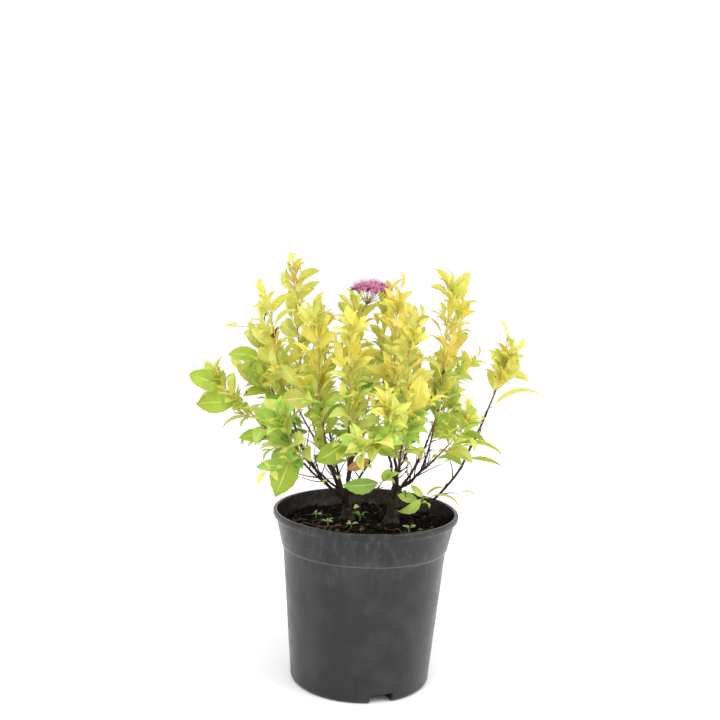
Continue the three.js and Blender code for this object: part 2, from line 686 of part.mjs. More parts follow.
function growMass(mass, canes) {
  const random = randomStream(1000 + 37 * mass.index);
  mass.leaves = [];
  mass.twigs = [{ path: mass.axis, start: TWIG.startRadius, end: TWIG.tipRadius }];
  const stem = mass.axis;
  const nodes = Math.round(pathLength(stem) / GROWTH.internode);
  let turn = 360 * random();
  for (let k = 0; k < nodes; k += 1) {
    const share = (k + 0.5) / nodes;
    if (share < (mass.open ?? 0)) {
      continue;
    }
    const root = pointOnPath(stem, share);
    const twig = directionOnPath(stem, share);
    const full = mix(GROWTH.lowAngle, GROWTH.tipAngle, share) * (mass.fold ?? 1);
    turn += GROWTH.turn + (random() - 0.5) * GROWTH.turnDrift;
    tryLeaf(mass, canes, twig, {
      root,
      angle: full + (random() - 0.5) * GROWTH.angleDrift,
      turn,
      length: leafLength(share, root.z) * varied(GROWTH.stemShortest, random),
      roll: GROWTH.roll * (2 * random() - 1),
    });
  }
  for (let s = 0; s < mass.sides; s += 1) {
    const share = GROWTH.sideFrom + (GROWTH.sideOver * s) / mass.sides;
    const twig = directionOnPath(stem, share);
    const sideTurn = turn + GROWTH.sideTurn * s;
    const direction = tilted(twig, around(twig, sideTurn), GROWTH.sideAngle);
    const full = GROWTH.sideLength * (1 - GROWTH.sideTaper * share);
    const length = full * (GROWTH.sideShortest + GROWTH.sideSpread * random());
    growSide(mass, canes, pointOnPath(stem, share), direction, length, random, sideTurn);
  }
  for (let t = 0; t < GROWTH.tuft; t += 1) {
    tryLeaf(mass, canes, directionOnPath(stem, 1), {
      root: pointOnPath(stem, 1),
      angle: GROWTH.tuftAngle + GROWTH.tuftDrift * random(),
      turn: turn + (360 * t) / GROWTH.tuft,
      length: GROWTH.tipLeaf * varied(GROWTH.tuftShortest, random),
      roll: GROWTH.roll * (2 * random() - 1),
    });
  }
  LONE_LEAVES.filter((lone) => lone.on === mass.name).forEach((lone) => {
    const direction = tilted(outward(lone.bearing), UP, lone.climb);
    const root = pointOnPath(stem, lone.at);
    mass.leaves.push(makeLeaf(root, direction, lone.length, lone.roll, lone.shape));
  });
}

function corymbSolids(mass) {
  const { bumps } = CORYMB;
  const top = mass.axis[mass.axis.length - 1];
  const crown = corymbCentre(mass);
  const dome = new THREE.IcosahedronGeometry(1, 1);
  const position = dome.attributes.position;
  const point = new THREE.Vector3();
  for (let v = 0; v < position.count; v += 1) {
    point.fromBufferAttribute(position, v);
    const wave = Math.sin(bumps[0] * point.x + bumps[1] * point.y) * Math.sin(bumps[2] * point.y);
    const bump = 1 + CORYMB.bump * wave;
    const flat = point.z > 0 ? CORYMB.height : CORYMB.under;
    position.setXYZ(
      v,
      crown.x + point.x * CORYMB.radius * bump,
      crown.y + point.y * CORYMB.radius * bump,
      crown.z + point.z * flat,
    );
  }
  const stalk = limbGeometry([top, crown], CORYMB.stalk, CORYMB.stalk, TWIG.sides);
  return [toSolid(stalk), toSolid(dome)];
}

// A leaf's blade: a kite that arches over its widest line and has a keel below.
function leafSolid(leaf) {
  const blade = new THREE.BufferGeometry().setFromPoints(leafCorners(leaf));
  blade.setIndex([0, 2, 3, 1, 3, 2, 0, 1, 2, 0, 3, 1]);
  return toSolid(blade);
}

function massGeometry(mass) {
  const twigs = mass.twigs.map((twig) => (
    toSolid(limbGeometry(twig.path, twig.start, twig.end, TWIG.sides))
  ));
  const head = mass.flower ? corymbSolids(mass) : [];
  return toGeometry(joined([...twigs, ...mass.leaves.map(leafSolid), ...head]));
}

// ---------------------------------------------------------------- the shrub

const shrub = new THREE.Group();

function addPart(name, geometry, colour, roughness) {
  const material = new THREE.MeshStandardMaterial({ color: colour, roughness, metalness: 0 });
  const part = new THREE.Mesh(geometry, material);
  part.name = name;
  shrub.add(part);
}

const canes = traceCanes();

addPart('pot', potGeometry(), COLOURS.pot, 0.55);
addPart('soil', soilGeometry(), COLOURS.soil, 0.95);
Object.entries(STUMPS).forEach(([name, stump]) => {
  addPart(`stump_${name}`, toGeometry(toSolid(stumpGeometry(stump, 0))), COLOURS.wood, 0.85);
});
Object.values(canes).forEach((cane) => {
  addPart(`bough_${cane.name}`, boughGeometry(cane, canes), COLOURS.wood, 0.8);
});
Object.values(canes).forEach((cane) => {
  growMass(cane, canes);
  const golden = cane.top > GOLDEN_TOP;
  addPart(`foliage_${cane.name}`, massGeometry(cane), golden ? COLOURS.golden : COLOURS.lime, 0.6);
});

export default shrub;
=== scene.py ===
# Looks of a spirea shrub in its black nursery pot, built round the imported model.
# Sizes are millimetres and angles are degrees, as in the part's source, and Piece.make turns
# them into the frame's metres. +Z is up and -Y is the front.
import json
import math
from collections import namedtuple
from types import SimpleNamespace

import bpy
import numpy as np
from mathutils import Matrix, Vector, noise

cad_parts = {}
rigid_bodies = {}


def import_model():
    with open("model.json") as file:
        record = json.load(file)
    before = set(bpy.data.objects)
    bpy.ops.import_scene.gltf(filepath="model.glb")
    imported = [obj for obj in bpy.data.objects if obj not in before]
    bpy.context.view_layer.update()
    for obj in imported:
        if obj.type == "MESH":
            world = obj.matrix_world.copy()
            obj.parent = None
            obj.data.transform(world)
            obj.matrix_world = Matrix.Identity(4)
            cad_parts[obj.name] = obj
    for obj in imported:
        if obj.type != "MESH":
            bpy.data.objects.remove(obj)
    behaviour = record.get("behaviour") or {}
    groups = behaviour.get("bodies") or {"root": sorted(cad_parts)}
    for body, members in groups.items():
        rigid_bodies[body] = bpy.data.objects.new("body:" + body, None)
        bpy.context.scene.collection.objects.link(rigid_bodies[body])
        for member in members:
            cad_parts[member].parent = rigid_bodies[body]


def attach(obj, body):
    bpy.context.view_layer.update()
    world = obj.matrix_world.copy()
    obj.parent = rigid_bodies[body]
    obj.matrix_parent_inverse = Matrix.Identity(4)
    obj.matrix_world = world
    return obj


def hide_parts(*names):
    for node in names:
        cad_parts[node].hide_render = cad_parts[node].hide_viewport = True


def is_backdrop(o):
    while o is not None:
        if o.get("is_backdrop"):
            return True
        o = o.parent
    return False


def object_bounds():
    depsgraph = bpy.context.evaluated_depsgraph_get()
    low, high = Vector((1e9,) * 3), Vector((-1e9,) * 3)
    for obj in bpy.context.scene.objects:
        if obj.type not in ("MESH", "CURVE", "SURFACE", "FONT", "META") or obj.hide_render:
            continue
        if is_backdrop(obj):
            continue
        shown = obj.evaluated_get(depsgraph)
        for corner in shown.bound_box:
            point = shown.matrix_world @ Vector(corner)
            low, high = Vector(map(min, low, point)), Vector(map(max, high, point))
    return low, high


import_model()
CAD_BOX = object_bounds()

METRES = 0.001  # in a millimetre

# ---- sizes shared with the solids

GAP = 0.3  # between neighbouring solids

POT = SimpleNamespace(
    height=178, lip_radius=95, lip_height=6, mouth_radius=91, collar_top=92.1, collar_foot=85.3,
    step=142.4, body_top=83.7, body_foot=72.1, foot_radius=67.2, foot_round=5, ring_width=6.5,
    recess=10.4, boss=28, wall=1.6, floor=2,
)
NOTCH = SimpleNamespace(width=23, height=9.6, corner=3, count=3, bearing=-71)
SOIL = SimpleNamespace(
    top=164, edge_drop=3, ripple=1.6, wave=15, calm=40, calm_edge=18, collar_share=0.6,
    mound=SimpleNamespace(x=66, y=14, radius=24, height=8),
)
STUMPS = {
    "right": SimpleNamespace(x=27, y=4, height=40, foot=6, top=3.6, lean_x=3, lean_y=3),
    "left": SimpleNamespace(x=-19, y=9, height=32, foot=5.6, top=3.4, lean_x=-2, lean_y=-2),
}
STUMP_FLARE = SimpleNamespace(share=0.55, height=5)

# Each cane leaves its parent at a share of the parent's length, at its own climb, runs out for
# its push and ends with an upright stretch, rise, that leans outwards by its lean. It is bare
# up to the height given by bare. Where open is given, that share of its mass's stem has no
# leaves, and fold closes the leaves up along the stem.
Cane = namedtuple(
    "Cane", "name parent at bearing reach top climb push rise lean bare thick sides open fold",
    defaults=(0, 1),
)
CANES = [
    Cane("left_top", "left", 0.78, 172, 82, 414, 50, 40, 130, 2, 252, 2.8, 4),
    Cane("left_high", "left", 0.58, 191, 104, 378, 34, 46, 120, 8, 246, 2.6, 4),
    Cane("left_front", "left", 0.46, 231, 82, 359, 46, 36, 110, 2, 244, 2.4, 4),
    Cane("middle_flower", "left", 0.97, 128, 20, 380, 78, 60, 90, -6, 262, 3, 3),
    Cane("front", "left", 0.36, 256, 84, 352, 44, 40, 100, 4, 234, 2.4, 4),
    Cane("back_left", "left", 0.54, 127, 88, 356, 46, 42, 115, 3, 250, 2.6, 4),
    Cane("back", "left", 0.7, 104, 84, 363, 48, 40, 110, 3, 248, 2.5, 4),
    Cane("middle_right", "right", 0.97, -42, 30, 380, 80, 50, 120, 0, 254, 2.8, 4),
    Cane("right_top", "right", 0.86, 1, 76, 397, 24, 34, 172, 3, 246, 2.8, 4),
    Cane("far_right", "right", 0.2, -4, 134, 332, 8, 60, 100, 19, 288, 2.4, 0, 0.38, 0.77),
    Cane("front_right", "right", 0.62, -63, 78, 356, 42, 36, 105, 2, 232, 2.4, 4),
    Cane("right_inner", "right", 0.68, 28, 99, 374, 40, 40, 100, 5, 248, 2.4, 4),
    Cane("back_right", "right", 0.76, 63, 92, 350, 46, 42, 110, 3, 250, 2.6, 4),
    Cane("middle_back", "right", 0.84, 78, 54, 374, 58, 50, 100, 1, 260, 2.4, 3),
    Cane("left_outer", "left_high", 0.5, 166, 118, 334, 52, 24, 60, 10, 276, 1.8, 3),
    Cane("left_low", "left_high", 0.33, 188, 148, 302, 38, 26, 30, 46, 238, 1.8, 0),
    Cane("front_left_low", "left_front", 0.36, 221, 106, 270, 40, 22, 34, 30, 236, 1.8, 3),
    Cane("front_low", "front", 0.4, 278, 112, 292, 40, 22, 36, 28, 246, 1.8, 3, 0.3, 1),
    Cane("right_low", "front_right", 0.34, -27, 101, 274, 34, 24, 30, 34, 240, 1.8, 0, 0.2, 1),
    Cane("back_right_low", "back_right", 0.42, 46, 104, 316, 42, 24, 44, 24, 240, 1.8, 3),
    Cane("back_low", "back", 0.4, 90, 122, 304, 40, 24, 40, 26, 236, 1.8, 3),
    Cane("back_left_low", "back_left", 0.42, 142, 130, 320, 42, 24, 46, 22, 244, 1.8, 3),
    Cane("rim_right", "right", 0.36, -36, 72, 204, 18, 18, 14, 55, 198, 1.8, 0),
    Cane("rim_front", "left", 0.22, 284, 60, 221, 24, 20, 10, 40, 211, 1.8, 0),
    Cane("left_inner", "left", 0.24, 197, 52, 302, 60, 30, 60, 2, 210, 2, 3),
]
FLOWERING = "middle_flower"

# Leaves that stand well clear of the crown, by mass: the share of its stem, and the leaf's
# bearing, climb, length, roll and shape.
LONE_LEAVES = {
    "left_top": [(0.99, 150, 62, 22, -20, 0.3), (0.97, -4, 32, 28, -50, 0.42)],
    "left_high": [(0.99, 0, 50, 30, -50, 0.42), (0.8, 180, 34, 30, -60, 0.42)],
    "middle_flower": [(0.93, 184, 14, 32, -46, 0.4), (0.8, 190, 6, 34, -40, 0.4)],
    "right_top": [(0.99, -10, 60, 36, 50, 0.42)],
    "left_low": [
        (0.98, 186, 20, 38, -74, 0.46), (0.7, 182, -4, 44, -68, 0.48),
        (0.5, 150, 50, 34, -60, 0.48), (0.2, 184, -4, 36, -62, 0.36),
    ],
    "left_outer": [(0.85, 182, 10, 38, -66, 0.46), (0.3, 184, -6, 32, -50, 0.42)],
    "left_inner": [(0.6, 0, -20, 34, -50, 0.5)],
    "front_left_low": [(0.5, 218, -66, 52, -52, 0.5)],
    "right_low": [
        (0.5, -6, -4, 56, -8, 0.26), (0.8, 172, 44, 27.5, -60, 0.56),
        (0.8, -4, -4, 28, -60, 0.52), (0.03, 8, -10, 28, -56, 0.6),
    ],
    "far_right": [
        (0.03, -2, 21, 56, -30, 0.32), (0.36, 172, 86, 46, -40, 0.5),
        (0.6, 0, 66, 38, -40, 0.46), (0.8, 0, -4, 28, -50, 0.42),
    ],
    "left_front": [(0.58, 182, -8, 40, -56, 0.5)],
    "front": [(0.28, 192, -36, 38, -60, 0.52)],
    "front_right": [(0.12, 178, 42, 44, -52, 0.58)],
    "rim_right": [
        (0.1, 180, 12, 22, -60, 0.4), (0.7, 196, -30, 28, -60, 0.42),
        (0.8, 168, 40, 18, -60, 0.42), (0.9, 10, 34, 22, -60, 0.42),
        (0.95, -10, -8, 36, -30, 0.34),
    ],
    "rim_front": [(0.9, 186, -8, 38, -64, 0.42)],
    "front_low": [(0.02, 186, -28, 27, -50, 0.34)],
}

GROWTH = SimpleNamespace(
    axis_steps=5, internode=8, turn=144, turn_drift=24, angle_drift=14, spread=0.3,
    low_angle=92, tip_angle=42, least_angle=12, roll=45, low_leaf=44, tip_leaf=26,
    low_shape=0.5, tip_shape=0.36, stem_shortest=0.85, foot_leaf=0.62, foot_from=200, foot_to=250,
    tuft=3, tuft_angle=26, tuft_drift=10, tuft_shortest=0.75,
    tries=6, steeper=8, shorter=0.93, swing=37,
)
# The side twigs of a mass.
SIDE = SimpleNamespace(
    steps=2, from_share=0.08, over=0.6, turn=137, length=46, taper=0.5, shortest=0.8, longer=0.4,
    angle=60, rise=0.22, internode=13, turn_drift=30, low_angle=62, tip_angle=26, angle_drift=12,
)
LEAF = SimpleNamespace(widest=0.42, fuller=1.25, keel=0.06, droop=0.12, sunk=0.45)
LIMB = SimpleNamespace(steps=7, foot_share=1.25)
TWIG = SimpleNamespace(start=0.95, tip=0.45, side=0.6)
SPACE = SimpleNamespace(border=0.6, limb=4.4, ground=222, flower=2)
CORYMB = SimpleNamespace(
    radius=20, height=13, under=5, rise=20, lean=8, rays=14, places=150, filled=0.94, jog=2.4,
    splay=62,
)
FOLIAGE = ["foliage_" + cane.name for cane in CANES]
BOUGHS = ["bough_" + cane.name for cane in CANES]

# ---- vectors and paths

UP = np.array([0.0, 0.0, 1.0])


def mix(low, high, share):
    return low + (high - low) * share


def clamped(share):
    return min(max(share, 0.0), 1.0)


def smooth(share):
    share = clamped(share)
    return share * share * (3 - 2 * share)


def spread_along(start, end, steps):
    """Evenly spread numbers from start to end."""
    return [mix(start, end, i / steps) for i in range(steps + 1)]


def unit(vector):
    return vector / math.sqrt(vector @ vector)


def outward(bearing):
    turn = math.radians(bearing)
    return np.array([math.cos(turn), math.sin(turn), 0.0])


def random_stream(seed):
    """A seeded stream of numbers from 0 to 1, the same as the part's source draws (mulberry32)."""
    full = 0xFFFFFFFF
    state = seed & full

    def draw():
        nonlocal state
        state = (state + 0x6D2B79F5) & full
        t = ((state ^ (state >> 15)) * (state | 1)) & full
        t ^= (t + (((t ^ (t >> 7)) * (t | 61)) & full)) & full
        return ((t ^ (t >> 14)) & full) / (full + 1)

    return draw


def varied(lowest, random):
    """A factor from the lowest given to that and the spread of the lengths."""
    return lowest + GROWTH.spread * random()


def either_way(most, random):
    """A number from minus half of the most given to half of it."""
    return (random() - 0.5) * most


def rolled(most, random):
    return most * (2 * random() - 1)


def jogged(place, most, random):
    """The place, moved by up to half of the most given along each axis."""
    return place + np.array([random() - 0.5, random() - 0.5, random() - 0.5]) * most


def tilted(direction, side, angle):
    """Turns a direction towards the side given."""
    turn = math.radians(angle)
    return unit(direction * math.cos(turn) + side * math.sin(turn))


def around(axis, turn):
    """A unit vector at right angles to the axis, at a turn round it."""
    first = unit(np.array([1.0, 0.0, 0.0]) - axis * axis[0])
    second = np.cross(axis, first)
    return first * math.cos(math.radians(turn)) + second * math.sin(math.radians(turn))


def point_on_path(path, share):
    run = share * (len(path) - 1)
    piece = min(int(run), len(path) - 2)
    return path[piece] + (path[piece + 1] - path[piece]) * (run - piece)


def direction_on_path(path, share):
    piece = min(int(share * (len(path) - 1)), len(path) - 2)
    return unit(path[piece + 1] - path[piece])


def path_length(path):
    return sum(math.dist(a, b) for a, b in zip(path, path[1:]))


def distances(points, path_sets):
    """The distance from each point to each path, for paths of the same number of steps."""
    starts = path_sets[:, :-1]
    spans = path_sets[:, 1:] - starts
    offset = points[:, None, None] - starts
    share = np.clip((offset * spans).sum(-1) / (spans * spans).sum(-1), 0, 1)
    nearest = offset - share[..., None] * spans
    return np.sqrt((nearest * nearest).sum(-1)).min(-1)


def rounded(path, steps):
    """A smooth path through the points of a straight-pieced one (Catmull-Rom)."""
    points = [2 * path[0] - path[1], *path, 2 * path[-1] - path[-2]]
    smoothed = []
    for before, start, end, after in zip(points, points[1:], points[2:], points[3:]):
        for i in range(steps):
            t = i / steps
            bend = (2 * before - 5 * start + 4 * end - after) * t * t
            bend += (3 * start - before - 3 * end + after) * t * t * t
            smoothed.append((2 * start + (end - before) * t + bend) / 2)
    return [*smoothed, path[-1]]


# ---- pieces


class Piece:
    """Points in millimetres and faces that become one joined mesh."""

    def __init__(self, name):
        self.name = name
        self.points = []
        self.faces = []
        self.slots = []
        self.count = 0

    def add(self, points, faces, slot=0):
        """Adds a shape. slot is one material index for it, or one for each face."""
        self.points.append(np.asarray(points, dtype=float))
        self.faces.extend([[corner + self.count for corner in face] for face in faces])
        self.slots.extend([slot] * len(faces) if isinstance(slot, int) else slot)
        self.count += len(points)

    def make(self, materials, smooth_shading=True):
        mesh = bpy.data.meshes.new(self.name)
        mesh.from_pydata((np.concatenate(self.points) * METRES).tolist(), [], self.faces)
        for one in materials:
            mesh.materials.append(one)
        mesh.polygons.foreach_set("material_index", self.slots)
        mesh.polygons.foreach_set("use_smooth", [smooth_shading] * len(self.faces))
        mesh.update()
        return linked(self.name, mesh)

    def build(self, materials, slot, nodes, smooth_shading=True):
        """Makes the piece, which rides on the pot and stands for the solids' nodes given."""
        piece = self.make(materials, smooth_shading)
        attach(piece, "root")
        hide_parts(*nodes)


def linked(name, data):
    """A new object of the scene that holds the data."""
    thing = bpy.data.objects.new(name, data)
    bpy.context.scene.collection.objects.link(thing)
    return thing


def grid_faces(rows, columns, closed=False):
    """Quads over rows of points. A closed grid joins each row's last point to its first."""
    around_row = columns if closed else columns - 1
    faces = []
    for row in range(rows - 1):
        for column in range(around_row):
            after = (column + 1) % columns
            here, above = row * columns, (row + 1) * columns
            faces.append([here + column, here + after, above + after, above + column])
    return faces


def tube(path, radii, sides, relief=None):
    """A closed tube along a path. relief(step, side) gives a factor on its radius."""
    rings = []
    for i, centre in enumerate(path):
        along = unit(np.subtract(path[min(i + 1, len(path) - 1)], path[max(i - 1, 0)]))
        first, second = around(along, 0), around(along, 90)
        for k in range(sides):
            turn = 2 * math.pi * k / sides
            radius = radii[i] * (relief(i, k) if relief else 1)
            rings.append(centre + (first * math.cos(turn) + second * math.sin(turn)) * radius)
    faces = grid_faces(len(path), sides, closed=True)
    last = (len(path) - 1) * sides
    faces.append(list(range(sides))[::-1])
    faces.append([last + k for k in range(sides)])
    return rings, faces


def turned(profile, bearings, shape=None):
    """Rows of points where a profile of radii and heights turns round Z. shape moves a point."""
    points = []
    for radius, height in profile:
        for bearing in bearings:
            x, y = radius * outward(bearing)[:2]
            points.append(shape(x, y, height, bearing) if shape else (x, y, height))
    return points


def rough(x, y, z, wave, octaves=4):
    """Fractal noise between about -1 and 1 that repeats over no distance."""
    return noise.fractal(Vector((x, y, z)) / wave, 1.0, 2.0, octaves)


# ---- materials


def linear(red, green, blue):
    """A colour given as 8-bit sRGB, in the shader's linear values."""
    def channel(value):
        value /= 255
        return value / 12.92 if value <= 0.04045 else ((value + 0.055) / 1.055) ** 2.4
    return (channel(red), channel(green), channel(blue), 1.0)


def scaled(colour, factor):
    return tuple(min(channel * factor, 1.0) for channel in colour[:3]) + (1.0,)


class Nodes:
    """A material's node tree, with links made by name."""

    def __init__(self, name):
        self.material = bpy.data.materials.new(name)
        self.material.use_nodes = True
        self.tree = self.material.node_tree
        self.shader = self.tree.nodes["Principled BSDF"]
        self.place = self.tree.nodes.new("ShaderNodeTexCoord").outputs["Object"]

    def give(self, socket, value):
        """Links a socket to the value, or sets it where the value isn't a socket."""
        if isinstance(value, bpy.types.NodeSocket):
            self.tree.links.new(value, socket)
        else:
            socket.default_value = value

    def add(self, kind, inputs, **settings):
        node = self.tree.nodes.new("ShaderNode" + kind)
        for name, value in settings.items():
            setattr(node, name, value)
        for socket, value in inputs.items():
            self.give(node.inputs[socket], value)
        return node.outputs

    def noise(self, size, detail=3.0, stretch=(1, 1, 1), roughness=0.55):
        """Noise whose spots are about size millimetres across."""
        place = self.add("Mapping", {"Scale": stretch, "Vector": self.place})["Vector"]
        scale = 1 / (size * METRES)
        inputs = {"Scale": scale, "Detail": detail, "Roughness": roughness, "Vector": place}
        return self.add("TexNoise", inputs)["Fac"]

    def ramp(self, value, stops):
        """A colour for each value, from stops of (place, colour)."""
        ramp = self.tree.nodes.new("ShaderNodeValToRGB")
        elements = ramp.color_ramp.elements
        while len(elements) < len(stops):
            elements.new(0.5)
        for element, (place, colour) in zip(elements, stops):
            element.position = place
            element.color = colour
        self.give(ramp.inputs["Fac"], value)
        return ramp.outputs["Color"]

    def blend(self, share, first, second):
        return self.add("Mix", {0: share, 6: first, 7: second}, data_type="RGBA")[2]

    def range(self, value, low, high, to_low=0.0, to_high=1.0):
        limits = {"From Min": low, "From Max": high, "To Min": to_low, "To Max": to_high}
        return self.add("MapRange", {**limits, "Value": value})["Result"]

    def height(self):
        """The height above the floor, in millimetres."""
        up = self.add("SeparateXYZ", {"Vector": self.place})["Z"]
        return self.range(up, 0, 1, 0, 1 / METRES)

    def product(self, first, second):
        return self.add("Math", {0: first, 1: second}, operation="MULTIPLY")[0]

    def facing_axis(self):
        """A share that is 1 where a wall faces the upright axis and 0 where it faces away."""
        flat = self.add("VectorMath", {0: self.place, 1: (1, 1, 0)}, operation="MULTIPLY")
        facing = self.add("NewGeometry", {})["True Normal"]
        both = {0: flat["Vector"], 1: facing}
        dot = self.add("VectorMath", both, operation="DOT_PRODUCT")["Value"]
        return self.range(dot, -0.03, -0.06)

    def near_height(self, height, width, most):
        """A share that is most at a height and falls to 0 a width above and below it."""
        rising = self.range(self.height(), height - width, height, 0.0, most)
        return self.product(rising, self.range(self.height(), height, height + width, 1.0, 0.0))

    def colour(self, socket):
        self.give(self.shader.inputs["Base Color"], socket)

    def bump(self, height, depth, strength=0.6):
        """Relief of depth millimetres."""
        inputs = {"Strength": strength, "Distance": depth * METRES, "Height": height}
        self.give(self.shader.inputs["Normal"], self.add("Bump", inputs)["Normal"])

    def let_through(self, share, colour):
        """A share of the light passes through the surface and is scattered by it."""
        passing = self.add("BsdfTranslucent", {"Color": colour})["BSDF"]
        both = self.add("MixShader", {"Fac": share, 1: self.shader.outputs["BSDF"], 2: passing})
        self.give(self.tree.nodes["Material Output"].inputs["Surface"], both["Shader"])

    def finish(self, roughness, specular=0.5):
        """roughness is a number or a socket."""
        self.give(self.shader.inputs["Roughness"], roughness)
        self.shader.inputs["Specular IOR Level"].default_value = specular
        return self.material


def mottled(name, colour, size, spread, roughness=0.5, depth=0.05, specular=0.4):
    """A base colour that drifts lighter and darker over the size given, with fine relief."""
    nodes = Nodes(name)
    stops = [(0.3, scaled(colour, 1 - spread)), (0.7, scaled(colour, 1 + spread))]
    nodes.colour(nodes.ramp(nodes.noise(size), stops))
    nodes.bump(nodes.noise(size / 6), depth)
    return nodes.finish(roughness, specular)


def pot_plastic():
    """Black plastic: darkest at the collar and streaked with dust, with a scuffed painted
    highlight along the step and painted shade with peat on the inner wall.
    """
    nodes = Nodes("black_plastic")
    # Pale grey, for the dust and for the painted highlight along the step.
    body, collar, dust_and_highlight_grey = linear(11, 12, 14), linear(6, 6, 8), linear(98, 99, 102)
    above = nodes.range(nodes.height(), POT.step - 3, POT.step + 8)
    base = nodes.blend(above, body, collar)
    streaks = nodes.noise(5, detail=7, stretch=(1, 1, 0.22), roughness=0.7)
    higher = nodes.range(nodes.height(), POT.step - 30, POT.height - 16, 0.12, 1.0)
    streaks = nodes.product(nodes.range(streaks, 0.5, 0.8, 0.0, 0.45), higher)
    clouds = nodes.range(nodes.noise(34, detail=5), 0.46, 0.7, 0.0, 0.12)
    # A pale band along the step under the collar: painted highlight on the ledge, with scuffing.
    step_highlight_and_scuff = nodes.near_height(POT.step + 0.3, 1.2, 0.55)
    specks = nodes.range(nodes.noise(2.4, detail=3), 0.74, 0.8, 0.0, 0.4)
    for share in (streaks, clouds, step_highlight_and_scuff, specks):
        base = nodes.blend(share, base, dust_and_highlight_grey)
    crumbs = nodes.range(nodes.noise(6, detail=6), 0.46, 0.6)
    # The inner wall is painted shade, near black, with blotches of peat on it.
    inside = nodes.blend(crumbs, linear(11, 9, 7), linear(56, 38, 20))
    nodes.colour(nodes.blend(nodes.facing_axis(), base, inside))
    nodes.bump(nodes.noise(1.1, detail=2), 0.05, 0.35)
    return nodes.finish(nodes.range(nodes.noise(18, detail=5), 0.3, 0.7, 0.24, 0.4), 0.47)


def soil_material(name, dark, light):
    nodes = Nodes(name)
    grain = nodes.noise(2.6, detail=8, roughness=0.7)
    nodes.colour(nodes.ramp(grain, [(0.36, dark), (0.6, light)]))
    nodes.bump(nodes.noise(1.2, detail=6, roughness=0.7), 0.6)
    return nodes.finish(0.95, 0.08)


def bark_material(name, dark, light, moss=None):
    nodes = Nodes(name)
    streaks = nodes.noise(2.2, detail=6, stretch=(1, 1, 0.28))
    colour = nodes.ramp(streaks, [(0.35, dark), (0.65, light)])
    if moss:
        colour = nodes.blend(nodes.range(nodes.noise(7, detail=5), 0.5, 0.62), colour, moss)
    nodes.colour(colour)
    nodes.bump(streaks, 0.35)
    return nodes.finish(0.72, 0.3)


# ---- pot


def notch_height(bearing):
    """How high the drain notches open the standing ring at a bearing."""
    spacing = 360 / NOTCH.count
    off = (bearing - NOTCH.bearing + spacing / 2) % spacing - spacing / 2
    across = abs(math.radians(off)) * POT.foot_radius
    half = NOTCH.width / 2
    if across >= half:
        return 0.0
    into_corner = max(across - (half - NOTCH.corner), 0.0)
    return NOTCH.height - NOTCH.corner + math.sqrt(NOTCH.corner ** 2 - into_corner ** 2)


def pot_bearings():
    """Bearings all round, closer together at the corners of the notches."""
    spacing = 360 / NOTCH.count
    edge = math.degrees(NOTCH.width / 2 / POT.foot_radius)
    corner = math.degrees(NOTCH.corner / POT.foot_radius)
    bearings = {round(step * 1.5, 3) for step in range(240)}
    for i in range(NOTCH.count):
        middle = NOTCH.bearing + i * spacing
        for sign in (-1, 1):
            bearings.add(round((middle + sign * (edge + 0.01)) % 360, 3))
            for part in range(6):
                bearings.add(round((middle + sign * (edge - corner * part / 5 - 0.001)) % 360, 3))
    return sorted(bearings)


def arc(centre, radius, start, end, steps):
    """Points of a round corner of the profile, from one angle to another."""
    angles = [math.radians(angle) for angle in spread_along(start, end, steps)]
    return [(centre[0] + radius * math.cos(a), centre[1] + radius * math.sin(a)) for a in angles]


def line(start, end, steps):
    """Points between two points of the profile, without the ends."""
    return [tuple(mix(a, b, i / steps) for a, b in zip(start, end)) for i in range(1, steps)]


def pot_profile():
    """The pot's section, from the middle of the underside out, up, over the lip and in."""
    ring_inner = POT.foot_radius - POT.ring_width
    lip_foot = POT.height - POT.lip_height
    lip_round = 1.6
    body_foot = (POT.foot_radius + POT.foot_round, POT.foot_round)
    over_notch = (body_foot[0] + 0.25, NOTCH.height + 0.6)
    shoulder = (POT.body_top, POT.step - 2.4)
    collar = (POT.collar_foot, POT.step)
    inner_lip = (POT.collar_top - POT.wall, lip_foot - 2)
    inner_shoulder = (POT.collar_foot - POT.wall, POT.step - 2)
    floor_top = POT.recess + POT.floor
    return [
        (0, 0),
        (POT.boss, 0),
        *arc((POT.boss, 1), 1, -60, 0, 2),
        (POT.boss + 1, POT.recess),
        (ring_inner - 1, POT.recess),
        (ring_inner - 0.8, 1),
        (ring_inner, 0),
        *arc((POT.foot_radius, POT.foot_round), POT.foot_round, -90, -10, 6),
        body_foot,
        over_notch,
        *line(over_notch, shoulder, 14),
        shoulder,
        (POT.body_top + 0.3, POT.step - 1.2),
        (POT.collar_foot - 0.5, POT.step - 0.35),
        collar,
        (POT.collar_foot + 0.35, POT.step + 0.8),
        *line(collar, (POT.collar_top, lip_foot), 8),
        (POT.collar_top, lip_foot),
        (POT.collar_top + 0.9, lip_foot + 0.1),
        *arc((POT.lip_radius - lip_round, lip_foot + lip_round), lip_round, -60, 0, 3),
        *arc((POT.lip_radius - lip_round, POT.height - lip_round), lip_round, 0, 90, 5),
        *arc((POT.mouth_radius + 1, POT.height - 1), 1, 90, 180, 4),
        inner_lip,
        *line(inner_lip, inner_shoulder, 6),
        inner_shoulder,
        (POT.body_top - POT.wall, POT.step - 3),
        (POT.body_foot - POT.wall, floor_top + 5),
        (POT.foot_radius - POT.wall, floor_top),
        (0.01, floor_top),
    ]


def make_pot():
    def shape(x, y, height, bearing):
        """Opens the notches and lets the moulded wall wander a little out of round."""
        wobble = 0.22 * math.sin(math.radians(2 * bearing + 40)) * height / POT.height
        factor = 1 + wobble / POT.lip_radius
        in_ring = math.hypot(x, y) > POT.foot_radius - POT.ring_width - 2
        return x * factor, y * factor, max(height, notch_height(bearing)) if in_ring else height

    bearings = pot_bearings()
    profile = pot_profile()
    pot = Piece("nursery_pot")
    pot.add(turned(profile, bearings, shape), grid_faces(len(profile), len(bearings), closed=True))
    pot.build([pot_plastic()], "pot", ["pot"])


# ---- soil


